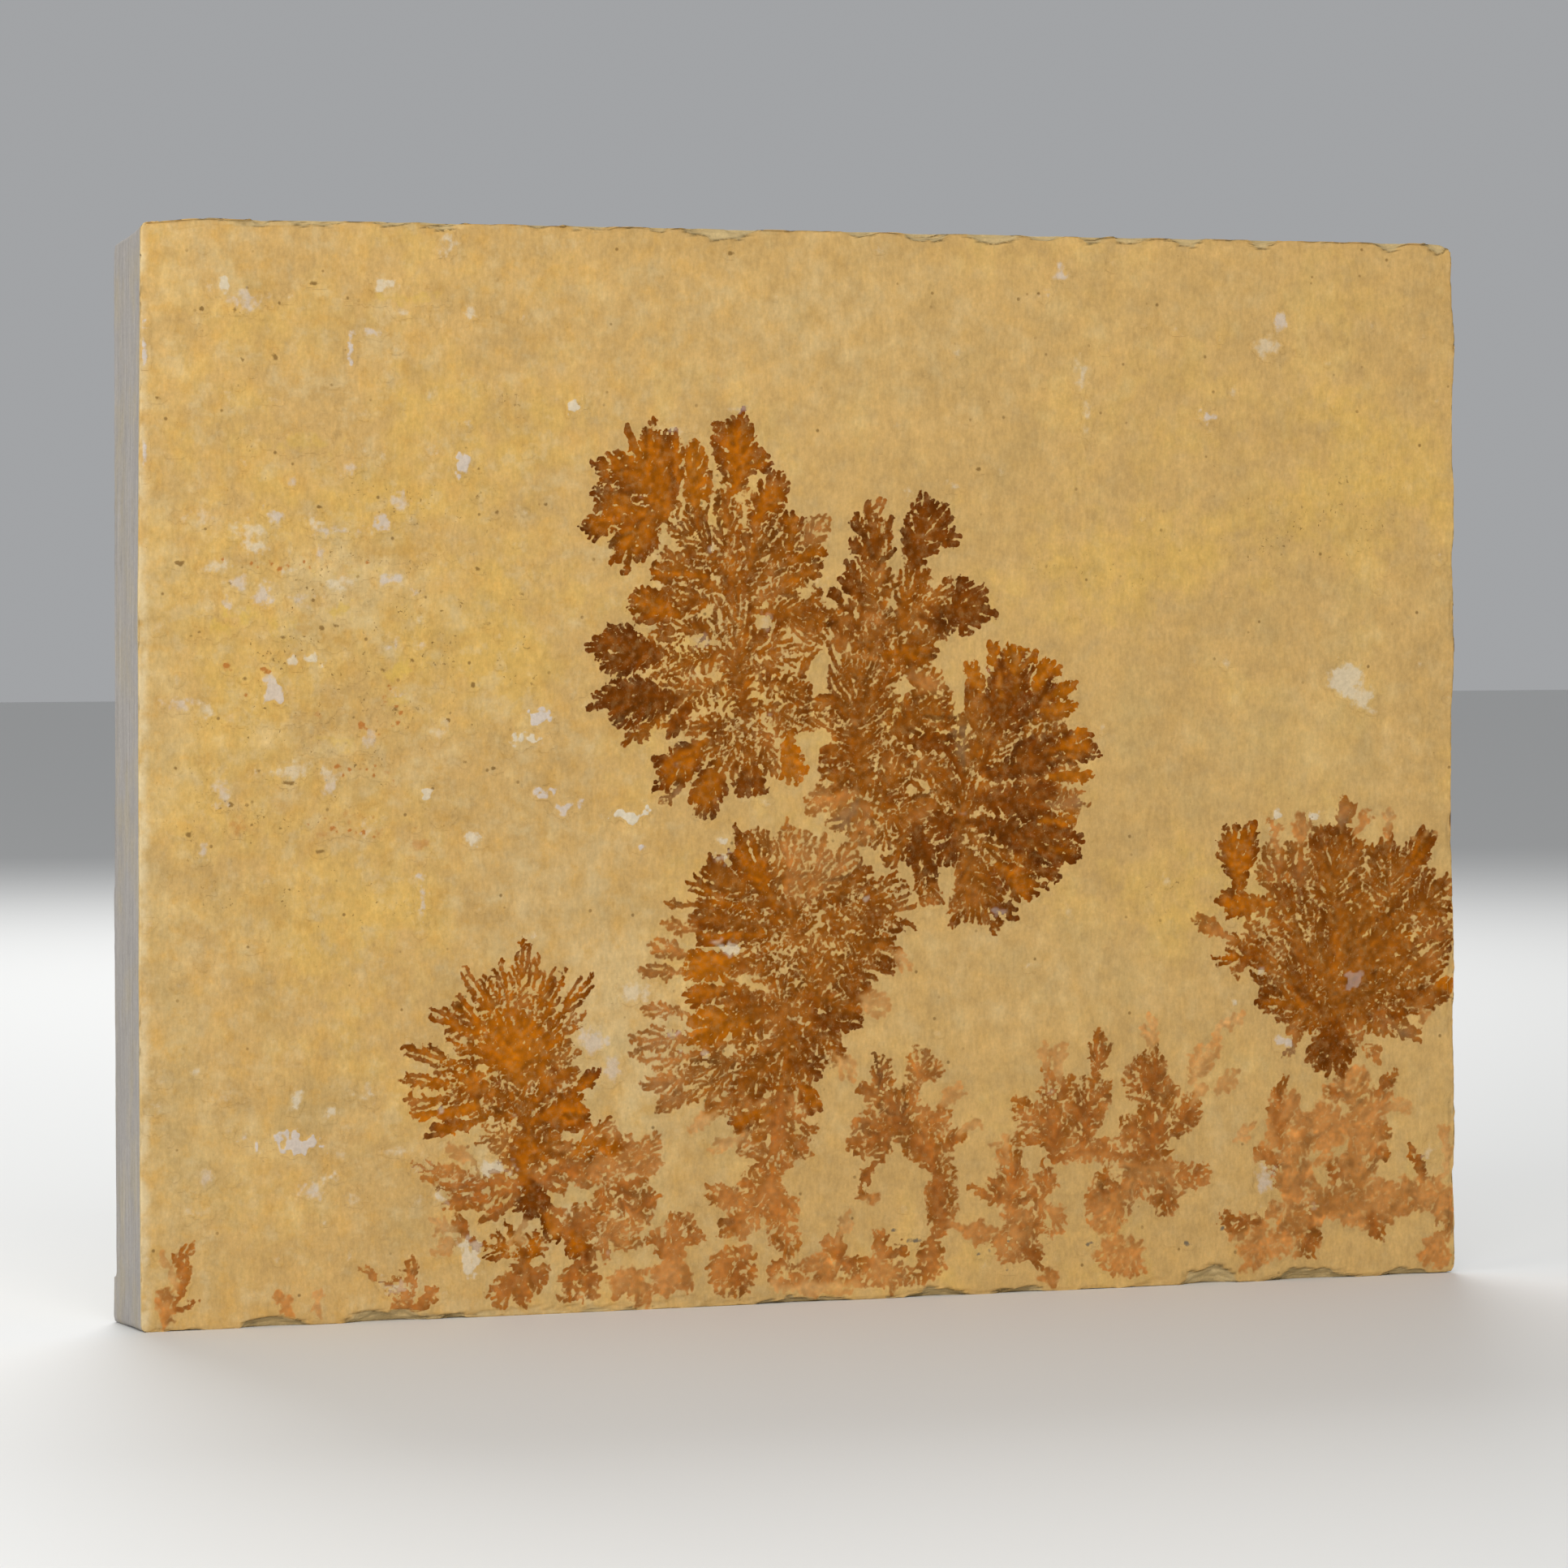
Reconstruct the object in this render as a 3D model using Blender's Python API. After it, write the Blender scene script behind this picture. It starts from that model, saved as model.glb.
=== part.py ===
"""Limestone slab carrying a natural film of pyrolusite dendrites, standing on its flat lower edge.

The front bedding face looks along -Y, SLAB_WIDTH lies along X and SLAB_HEIGHT along Z, and the origin is the
middle of the footprint. The dendrites are colour in the front face and have no relief.
"""

import math

import bmesh
import bpy
import numpy as np
from mathutils import Matrix, Vector, noise

MM = 0.001

SLAB_WIDTH = 300 * MM
SLAB_HEIGHT = 226.5 * MM
SLAB_THICKNESS = 18.4 * MM

# The plate is cut into nearly square cells, so that its faces can carry broad relief.
CELLS_ACROSS = 44
CELLS_UP = 33
CELLS_DEEP = 3

# Both bedding faces undulate. The rear one also swells at the foot and the head and is hollow between.
RELIEF_PERIOD = 55 * MM
FRONT_RELIEF = 0.25 * MM
BACK_RELIEF = 0.45 * MM
FOOT_SWELL = 1.6 * MM
HEAD_SWELL = 1.0 * MM
WAIST_HOLLOW = 0.7 * MM

# How far each sawn upright edge stands right of its straight line, against height, in millimetres.
LEFT_EDGE = ((0, -0.1), (70, -0.3), (150, -0.25), (190, 0.2), (226, 0.5))
RIGHT_EDGE = (
    (0, 0.6), (10, 0.9), (18, 0.1), (32, 0.8), (53, 0.1), (68, 0.5), (96, -0.6), (118, -0.7),
    (139, 0.2), (157, -0.5), (168, 0.1), (189, -0.8), (204, 0.2), (218, -1.1), (226, -0.8),
)  # fmt: skip

# The corners seen from the front are worn round: side of X, side of Z, radius in millimetres.
CORNERS = ((-1, 1, 1.6), (1, 1, 3.2), (1, -1, 2.0), (-1, -1, 1.2))
CORNER_SEGMENTS = 4

# Over its left end the top edge sinks, and slopes down towards the back.
SHOULDER_DROP = 0.9 * MM
SHOULDER_LENGTH = 14 * MM
SLOPE_DROP = 3.4 * MM
SLOPE_LENGTH = 48 * MM
SLOPE_CURVE = 0.75

# Flakes broken off the front of the top and bottom edges, in millimetres: middle along X, width,
# height up or down the front face, depth into the edge.
TOP_CHIPS = (
    (-124, 5, 1.5, 1.6), (-113, 18, 1.0, 1.2), (-97, 8, 1.1, 1.3), (-86, 9, 1.0, 1.2),
    (-64, 6, 1.1, 1.0), (-52, 9, 1.2, 1.3), (-37, 6, 1.1, 1.2), (-23, 17, 2.5, 1.2),
    (-19, 8, 1.2, 2.4), (8, 9, 1.7, 1.6), (23, 13, 2.1, 2.0), (39, 14, 2.3, 1.6),
    (51, 10, 1.4, 2.2), (62, 6, 1.0, 1.0), (72, 10, 1.4, 1.2), (85, 9, 1.3, 1.3),
    (103, 8, 1.7, 1.6), (134, 9, 2.2, 1.7), (146, 6, 2.6, 1.4),
)  # fmt: skip
BOTTOM_CHIPS = (
    (-122, 17, 2.0, 2.2), (-98, 20, 2.9, 2.6), (-83, 6, 1.3, 1.5), (-5, 24, 1.1, 1.6),
    (26, 15, 1.9, 2.2), (46, 12, 1.2, 1.6), (91, 14, 4.2, 2.8), (115, 22, 2.7, 2.4),
    (139, 12, 1.9, 1.8),
)  # fmt: skip

# Thin flakes off the rear face along its borders: middle along X and Z, the two radii, depth.
BACK_SCARS = (
    (-92, 224, 40, 15, 1.3),
    (64, 229, 54, 21, 0.9),
    (151, 128, 16, 58, 1.2),
    (-151, 52, 12, 42, 0.9),
)

# A chip's cutter is an ellipsoid centred outside the arris: this many chip heights beyond the edge, and
# this share of its own depth in front of the face.
CHIP_LIFT = 1.0
CHIP_FORWARD = 0.5
CHIP_SUBDIVISIONS = 3
CHIP_ROUGHNESS = 0.09
CHIP_LUMPS = 1.7
SCAR_SEGMENTS = 30
SCAR_ROUGHNESS = 0.20
SCAR_CUTTER_DEPTH = 8 * MM

STONE_COLOUR = (0.60, 0.41, 0.17, 1.0)
STONE_ROUGHNESS = 0.85


def clear_scene():
    for obj in list(bpy.data.objects):
        bpy.data.objects.remove(obj, do_unlink=True)


def new_collection(name, hidden=False):
    collection = bpy.data.collections.new(name)
    bpy.context.scene.collection.children.link(collection)
    collection.hide_render = hidden
    return collection


def add_object(name, shape, collection):
    mesh = bpy.data.meshes.new(name)
    shape.to_mesh(mesh)
    shape.free()
    obj = bpy.data.objects.new(name, mesh)
    collection.objects.link(obj)
    return obj


def faded(distance, length):
    """1 at distance 0, falling smoothly to 0 at the given length."""
    if distance >= length:
        return 0.0
    return 0.5 + 0.5 * math.cos(math.pi * max(distance, 0.0) / length)


def relief(x, z, layer):
    """Broad undulation of a bedding face, between about -1 and 1."""
    return noise.fractal(Vector((x / RELIEF_PERIOD, z / RELIEF_PERIOD, layer)), 0.8, 2.1, 3)


def back_swell(z):
    """How much further back than the nominal thickness the rear face stands at this height."""
    share = z / SLAB_HEIGHT
    foot = FOOT_SWELL * faded(share, 0.45)
    head = HEAD_SWELL * faded(1 - share, 0.30)
    waist = WAIST_HOLLOW * faded(abs(share - 0.55), 0.35)
    return foot + head - waist


def edge_offset(edge, z):
    heights, offsets = zip(*edge)
    return float(np.interp(z / MM, heights, offsets)) * MM


def shaped(point):
    """Where a point of the plain block lies on the slab. The foot stays flat."""
    x, y, z = point
    right_share = x / SLAB_WIDTH + 0.5
    deep_share = y / SLAB_THICKNESS
    up_share = z / SLAB_HEIGHT
    from_left = right_share * SLAB_WIDTH

    front = FRONT_RELIEF * relief(x, z, 0.3)
    back = BACK_RELIEF * relief(x, z, 7.9) + back_swell(z)
    left = edge_offset(LEFT_EDGE, z)
    right = edge_offset(RIGHT_EDGE, z)
    shoulder = SHOULDER_DROP * faded(from_left, SHOULDER_LENGTH)
    slope = SLOPE_DROP * faded(from_left, SLOPE_LENGTH) * deep_share**SLOPE_CURVE
    return Vector(
        (
            x + left * (1 - right_share) ** 4 + right * right_share**4,
            y + front * (1 - deep_share) + back * deep_share,
            z - (shoulder + slope) * up_share**12,
        )
    )


def plain_block():
    """The plate with rounded corners, front face at y = 0 and foot at z = 0, cut into cells."""
    block = bmesh.new()
    bmesh.ops.create_cube(block, size=1)
    bmesh.ops.translate(block, vec=(0, 0.5, 0.5), verts=block.verts)
    bmesh.ops.scale(block, vec=(SLAB_WIDTH, SLAB_THICKNESS, SLAB_HEIGHT), verts=block.verts)
    for side, end, radius in CORNERS:
        corner = [
            edge
            for edge in block.edges
            if all(
                abs(vert.co.x - side * SLAB_WIDTH / 2) < MM and abs(vert.co.z - (end + 1) * SLAB_HEIGHT / 2) < MM
                for vert in edge.verts
            )
        ]
        bmesh.ops.bevel(
            block, geom=corner, offset=radius * MM, segments=CORNER_SEGMENTS, profile=0.5, affect="EDGES"
        )
    cuts = (
        ((1, 0, 0), -SLAB_WIDTH / 2, SLAB_WIDTH, CELLS_ACROSS),
        ((0, 1, 0), 0, SLAB_THICKNESS, CELLS_DEEP),
        ((0, 0, 1), 0, SLAB_HEIGHT, CELLS_UP),
    )
    for normal, start, length, cells in cuts:
        for cell in range(1, cells):
            place = Vector(normal) * (start + length * cell / cells)
            everything = block.verts[:] + block.edges[:] + block.faces[:]
            bmesh.ops.bisect_plane(block, geom=everything, plane_co=place, plane_no=normal)
    return block


def slab(collection):
    shape = plain_block()
    for vert in shape.verts:
        vert.co = shaped(vert.co)
    bmesh.ops.triangulate(shape, faces=shape.faces)
    bmesh.ops.recalc_face_normals(shape, faces=shape.faces)
    return add_object("limestone_slab", shape, collection)


def chip_cutter(name, chip, edge_z, outward, collection):
    """An uneven ellipsoid that cuts a scallop of the given size from the front arris at height edge_z."""
    middle, width, height, depth = (value * MM for value in chip)
    beyond = CHIP_LIFT * height
    front_share = math.sqrt(1 - CHIP_FORWARD**2)
    half_height = (height + beyond) / front_share
    half_width = width / 2 / (front_share * math.sqrt(1 - (CHIP_LIFT / (1 + CHIP_LIFT)) ** 2))
    half_depth = depth / (math.sqrt(1 - (beyond / half_height) ** 2) - CHIP_FORWARD)

    shape = bmesh.new()
    bmesh.ops.create_icosphere(shape, subdivisions=CHIP_SUBDIVISIONS, radius=1)
    for vert in shape.verts:
        vert.co *= 1 + CHIP_ROUGHNESS * noise.noise(vert.co * CHIP_LUMPS + Vector((middle / MM, edge_z / MM, 0)))
    bmesh.ops.scale(shape, vec=(half_width, half_depth, half_height), verts=shape.verts)
    centre = (middle, -CHIP_FORWARD * half_depth, edge_z + outward * beyond)
    bmesh.ops.translate(shape, vec=centre, verts=shape.verts)
    return add_object(name, shape, collection)


def scar_cutter(name, scar, collection):
    """An uneven disc whose front is the floor of a thin flake scar in the rear face."""
    x, z, radius_x, radius_z, depth = (value * MM for value in scar)
    shape = bmesh.new()
    bmesh.ops.create_cone(
        shape, cap_ends=True, segments=SCAR_SEGMENTS, radius1=1, radius2=1, depth=SCAR_CUTTER_DEPTH
    )
    bmesh.ops.rotate(shape, matrix=Matrix.Rotation(math.radians(90), 3, "X"), verts=shape.verts)
    for vert in shape.verts:
        rim = Vector((vert.co.x, vert.co.z, scar[0]))
        stretch = 1 + SCAR_ROUGHNESS * noise.noise(rim * CHIP_LUMPS)
        vert.co.x *= radius_x * stretch
        vert.co.z *= radius_z * stretch
    floor = SLAB_THICKNESS + back_swell(min(z, SLAB_HEIGHT)) - depth
    bmesh.ops.translate(shape, vec=(x, floor + SCAR_CUTTER_DEPTH / 2, z), verts=shape.verts)
    bmesh.ops.recalc_face_normals(shape, faces=shape.faces)
    return add_object(name, shape, collection)


def all_cutters(collection):
    cutters = [
        chip_cutter(f"top_chip_{number}", chip, SLAB_HEIGHT, 1, collection)
        for number, chip in enumerate(TOP_CHIPS, 1)
    ]
    cutters += [
        chip_cutter(f"bottom_chip_{number}", chip, 0, -1, collection)
        for number, chip in enumerate(BOTTOM_CHIPS, 1)
    ]
    cutters += [scar_cutter(f"back_scar_{number}", scar, collection) for number, scar in enumerate(BACK_SCARS, 1)]
    for cutter in cutters:
        cutter.hide_render = True
        cutter.display_type = "WIRE"
    return cutters


def cut(obj, cutter):
    modifier = obj.modifiers.new(cutter.name, "BOOLEAN")
    modifier.operation = "DIFFERENCE"
    modifier.solver = "EXACT"
    modifier.object = cutter


def centre_on_footprint(objects, obj):
    """Moves everything so that the finished slab's box stands on the origin."""
    bpy.context.view_layer.update()
    finished = obj.evaluated_get(bpy.context.evaluated_depsgraph_get())
    corners = np.array([vert.co for vert in finished.data.vertices])
    low, high = corners.min(axis=0), corners.max(axis=0)
    shift = Vector((-(low[0] + high[0]) / 2, -(low[1] + high[1]) / 2, -low[2]))
    for each in objects:
        each.location = shift


def stone():
    material = bpy.data.materials.new("limestone")
    material.use_nodes = True
    shader = material.node_tree.nodes["Principled BSDF"]
    shader.inputs["Base Color"].default_value = STONE_COLOUR
    shader.inputs["Roughness"].default_value = STONE_ROUGHNESS
    material.diffuse_color = STONE_COLOUR
    return material


def main():
    clear_scene()
    specimen = new_collection("pyrolusite_specimen")
    helpers = new_collection("cutters", hidden=True)
    body = slab(specimen)
    body.data.materials.append(stone())
    cutters = all_cutters(helpers)
    for cutter in cutters:
        cut(body, cutter)
    centre_on_footprint([body, *cutters], body)


main()
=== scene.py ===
"""Looks of the limestone slab: ochre weathered stone, orange and brown mineral dendrites, studio light."""

import math

import bpy
import numpy as np
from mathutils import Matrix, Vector
from mathutils.bvhtree import BVHTree


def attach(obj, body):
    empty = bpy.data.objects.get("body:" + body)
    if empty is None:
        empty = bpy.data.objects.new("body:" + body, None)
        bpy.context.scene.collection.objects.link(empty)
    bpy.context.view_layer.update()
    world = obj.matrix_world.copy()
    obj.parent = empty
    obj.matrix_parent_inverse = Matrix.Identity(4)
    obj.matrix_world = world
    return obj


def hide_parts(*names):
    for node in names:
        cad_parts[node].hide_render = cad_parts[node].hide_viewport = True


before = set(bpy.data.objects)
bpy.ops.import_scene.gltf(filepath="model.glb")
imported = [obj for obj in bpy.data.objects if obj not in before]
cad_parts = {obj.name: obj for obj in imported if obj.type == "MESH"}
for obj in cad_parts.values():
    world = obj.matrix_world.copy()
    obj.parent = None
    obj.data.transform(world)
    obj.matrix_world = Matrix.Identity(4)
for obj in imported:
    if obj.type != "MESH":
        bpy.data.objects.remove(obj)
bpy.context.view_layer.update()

MM = 0.001
SEED = 20

# The marks were read off a front view in millimetres: x from the middle of the slab, z from its foot.
# This is how far that view's origin stands from the row frame's, where the front face lies in the row frame,
# and a place in front of it from which rays are cast inwards.
VIEW_SHIFT_X = -0.25
VIEW_SHIFT_Y = -10.0
FRONT_Y = -10.0
RAYS_FROM_Y = -20.0

SLAB_NODE = "limestone_slab"
HALF_WIDTH = 150.5
HALF_DEPTH = 10.2
HEIGHT = 226.5

# Fans of each colony: base x and z, tip x and z, half width, kind. Holes: x, z, radius along x and z.
# Bodies: outlines that twigs fill between the fans.
UPPER = (
    (-18, 124, -21, 152, 4.5, "vein"), (-20, 148, -22, 160, 3.5, "vein"), (-18, 138, -9, 137, 6, "vein"),
    (-21, 152, -23, 170, 3.6, "open"), (-20, 150, -12, 166, 4, "open"), (-18, 149, -6, 164, 3.4, "open"),
    (-17, 148, -2, 155, 3, "open"), (-22, 154, -33, 167, 5, "open"), (-24, 151, -37, 158, 3.2, "open"),
    (-24, 147, -36, 151, 3, "open"), (-25, 142, -38, 143, 3.4, "open"), (-25, 137, -39, 136, 3.6, "open"),
    (-24, 131, -37, 129, 3.2, "open"), (-20, 123, -33, 121.5, 2, "open"),
    (-19, 122, -29, 116, 2.4, "open"), (-18, 122, -24, 111, 2.8, "open"),
    (-17, 122, -18, 110, 2.6, "open"), (-15, 123, -11, 111, 2.4, "open"),
    (-14, 146, -3, 147, 3.4, "vein"), (-7, 146, 0, 151, 2, "open"), (-12, 131, -3, 129, 3.5, "vein"),
    (-14, 126, -4, 123, 3.4, "vein"), (-36, 167, -43, 184, 8.5, "rust"),
    (-33, 173, -34.5, 184, 2.4, "rust"), (-36, 166, -51, 170, 4.4, "rust"),
    (-43, 174, -51, 178.5, 3.6, "core"), (-29, 168, -30, 182.5, 3.1, "ember"),
    (-27, 170, -25.5, 176, 1.2, "rust"), (-20, 172, -19.5, 187.5, 5.6, "rust"),
    (-18, 176, -12, 179, 2.4, "core"), (-16, 165, -9.5, 174.5, 4, "rust"),
    (-8, 160, -7, 168, 2.6, "core"), (-6, 160, 1, 166, 2.8, "worn"), (-8, 157, 1, 160, 2.4, "rust"),
    (-9, 153, -0.5, 155, 2, "rust"), (-38, 170, -46.5, 156.5, 5.4, "rust"),
    (-45, 166, -54.5, 163.5, 3.6, "core"), (-44, 171, -52, 171.5, 1.9, "dark"),
    (-27, 154, -40, 155, 2.2, "rust"), (-32, 146, -45, 149.5, 4, "rust"),
    (-37, 137, -53, 139.5, 5.4, "dark"), (-46, 136, -51, 134.5, 1.6, "dark"),
    (-33, 128, -51.5, 127.5, 5, "dark"), (-38, 124, -45, 118.5, 2.3, "vein"),
    (-31, 127, -35, 120, 2.4, "dark"), (-27, 119, -38, 110, 4.3, "core"),
    (-33, 109, -38, 106, 1.7, "ash"), (-24, 115, -28.5, 103.5, 4.4, "core"),
    (-27, 107, -28, 102.5, 2.2, "ash"), (-18, 113, -19, 106.5, 2.4, "dark"),
    (-16, 113, -14.5, 107, 2.2, "dark"), (-8, 119, -6, 109, 3.6, "ember"),
)  # fmt: skip

UPPER_HOLES = (
    (-26, 146.5, 3.5, 1.8), (-13.8, 144.5, 1.9, 3.4), (-16, 138.8, 2.6, 1), (-20.6, 137.5, 1, 1),
    (-30, 140.5, 2.6, 1.8), (-25, 132, 1.4, 3), (-16, 131, 2, 1), (-15.5, 128.5, 1.4, 1),
    (-2, 134, 2, 3.2), (2.5, 136.5, 1.8, 2.4), (4, 129.5, 4, 1.6), (-31, 125, 2.6, 1.2),
    (-25, 121.6, 3, 0.8), (-35, 161, 3, 1.6), (-26, 164, 1.6, 2.6), (-14, 158, 2, 3), (-4, 150, 3, 1.6),
    (0, 120.5, 5, 1.2), (5, 117, 1.2, 2.4),
)  # fmt: skip

UPPER_BODY = (
    (-37, 170), (-28, 173), (-20, 174), (-12, 170), (-5, 164), (-1, 158), (-3, 152), (1, 148), (3, 141),
    (-1, 138), (-4, 134), (-3, 129), (2, 126), (2, 121), (-6, 121), (-10, 117), (-14, 111), (-22, 110),
    (-28, 114), (-30, 119), (-34, 122), (-38, 122), (-42, 127), (-42, 133), (-42, 140), (-38, 143),
    (-38, 150), (-36, 153), (-36, 160), (-36, 165),
)  # fmt: skip

MIDDLE = (
    (8, 108, 8, 146, 7.5, "vein"), (2, 128, -3, 126, 2, "vein"), (10, 137, 12, 147, 5, "vein"),
    (2, 146, -5, 143, 3, "vein"), (12, 140, 11.5, 170.5, 4, "open"), (12, 158, 10.5, 170.5, 2.4, "dark"),
    (11, 158, 6.5, 168.5, 1.7, "dark"), (12, 158, 15, 167, 2, "dark"), (11, 156, 6.5, 162, 1.6, "dark"),
    (12, 155, 16, 160, 1.6, "dark"), (9, 149, 3.5, 154, 1.5, "dark"), (9, 151, 5, 157.5, 1.3, "dark"),
    (4, 147, 1.5, 151.5, 1.1, "dark"), (17, 143, 20.5, 157, 2.6, "open"), (18, 143, 25, 156, 2.2, "open"),
    (18, 144, 29, 153, 2.2, "open"), (18, 145, 30, 149, 2.4, "open"), (20, 155, 26, 170.5, 5.6, "dark"),
    (24, 162, 31.5, 162, 2.4, "dark"), (24, 147, 38.5, 147.5, 4.6, "dark"),
    (30, 149, 33, 153, 2.2, "dark"), (22, 145, 30, 141, 2, "dark"), (31, 146, 34, 141, 2, "dark"),
    (14, 137, 26, 137.5, 3, "rust"), (20, 132, 29, 130, 2.2, "worn"), (16, 121, 29, 127, 4.6, "thick"),
    (19, 118, 30, 119, 2.4, "dark"), (7, 137, 15, 136, 4, "worn"), (6, 123, 12, 125, 4.4, "worn"),
    (5, 132, 1, 136, 1.4, "vein"), (10, 114, -1, 117.5, 2.6, "thick"), (10, 111, -3, 111, 2.6, "thick"),
    (8, 108, -5, 106, 3.6, "worn"), (8, 106, 2, 99.5, 3.6, "ash"), (10, 105, 8.5, 96.5, 3, "worn"),
    (14, 107, 18, 116, 4.6, "vein"), (14, 104, 22, 102, 5, "vein"), (15, 103, 12, 95, 2.8, "open"),
    (19, 99, 14, 91.5, 2.2, "open"), (21, 101, 23.5, 89, 3.4, "dark"), (21, 92, 26, 83, 2.6, "thick"),
    (20, 112, 30, 114, 2.4, "thick"),
)  # fmt: skip

MIDDLE_HOLES = (
    (-2, 134, 2, 3.2), (3, 136.5, 1.6, 2.4), (5, 129.4, 4, 1.5), (18, 131, 3.6, 2.2),
    (20.5, 119, 1.8, 2.2), (15.5, 148, 1.8, 1.6), (22, 108.5, 3.4, 1.4), (25, 104, 1.2, 2.4),
    (15, 102.5, 1.8, 1.2), (20, 139, 1.6, 0.8), (-1, 119, 4, 0.9), (7.5, 115.5, 1.2, 2),
    (0.5, 108.8, 2.2, 1), (21, 93, 0.8, 1.4), (17.5, 151, 1, 3),
)  # fmt: skip

MIDDLE_BODY = (
    (3, 148), (6, 150), (9, 156), (14, 156), (18, 152), (24, 152), (30, 150), (34, 146), (30, 142),
    (24, 138), (27, 133), (30, 128), (30, 122), (30, 116), (31, 110), (30, 102), (26, 96), (22, 92),
    (16, 96), (10, 98), (4, 101), (0, 104), (-2, 109), (0, 113), (4, 115), (2, 119), (0, 122), (2, 126),
    (6, 128), (7, 132), (5, 137), (3, 142),
)  # fmt: skip

RIGHT = (
    (31, 96, 32.5, 113, 3, "thick"), (33, 110, 44, 121, 2.6, "open"), (33, 112, 39, 124, 2.6, "thick"),
    (32, 112, 31, 124, 3, "ash"), (35, 114, 35, 130, 3, "thick"), (36, 112, 45, 136, 6.6, "dark"),
    (47, 124, 54, 130, 3, "dark"), (44, 128, 45.5, 140.5, 4.6, "ember"),
    (41, 128, 39, 139.5, 2.2, "ember"), (37, 127, 34, 135.5, 2.2, "ember"),
    (49, 129, 53.5, 136.5, 2.8, "ember"), (51, 127, 58.8, 130.5, 2, "ember"),
    (51, 125, 58.8, 126, 2.2, "ember"), (38, 111, 57, 118, 4.4, "dark"),
    (51, 116, 64.5, 118, 3.8, "core"), (56, 118, 62, 121, 1.8, "ember"),
    (53, 110.5, 62.5, 111.5, 1.8, "ember"), (52, 105, 62, 105.5, 2.7, "ash"),
    (35, 106, 58, 105, 4.4, "dark"), (50, 102, 59, 101, 1.6, "ember"), (36, 101, 60, 95, 5.2, "dark"),
    (52, 95, 60, 95, 3.2, "core"), (47, 92, 55, 89.5, 1.6, "dark"), (34, 99, 42, 91.5, 3.4, "open"),
    (40, 92, 50, 85, 3.8, "core"), (33, 95, 38, 78.5, 6, "thick"), (33, 86, 30, 79.5, 2.6, "thick"),
    (38, 84, 45.5, 80.5, 2.2, "dark"), (31, 103, 22.5, 99.5, 3.4, "dark"), (31, 98, 27, 92, 2.4, "dark"),
    (31, 107, 24.5, 109, 1.8, "open"), (32, 110, 29, 118.5, 2, "dark"),
)  # fmt: skip

RIGHT_HOLES = (
    (33, 121, 0.7, 4), (36, 97.5, 1.6, 0.8), (43, 94.5, 1.8, 0.7), (39, 93, 2, 0.8), (31, 112, 1.4, 0.8),
    (30, 91, 3, 0.8), (29, 87, 0.8, 2),
)  # fmt: skip

RIGHT_BODY = (
    (31, 120), (34, 128), (40, 132), (48, 132), (54, 128), (56, 121), (60, 116), (58, 110), (60, 104),
    (58, 98), (56, 93), (50, 90), (46, 86), (40, 84), (34, 86), (30, 90), (29, 96), (29, 104), (31, 112),
)  # fmt: skip

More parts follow.
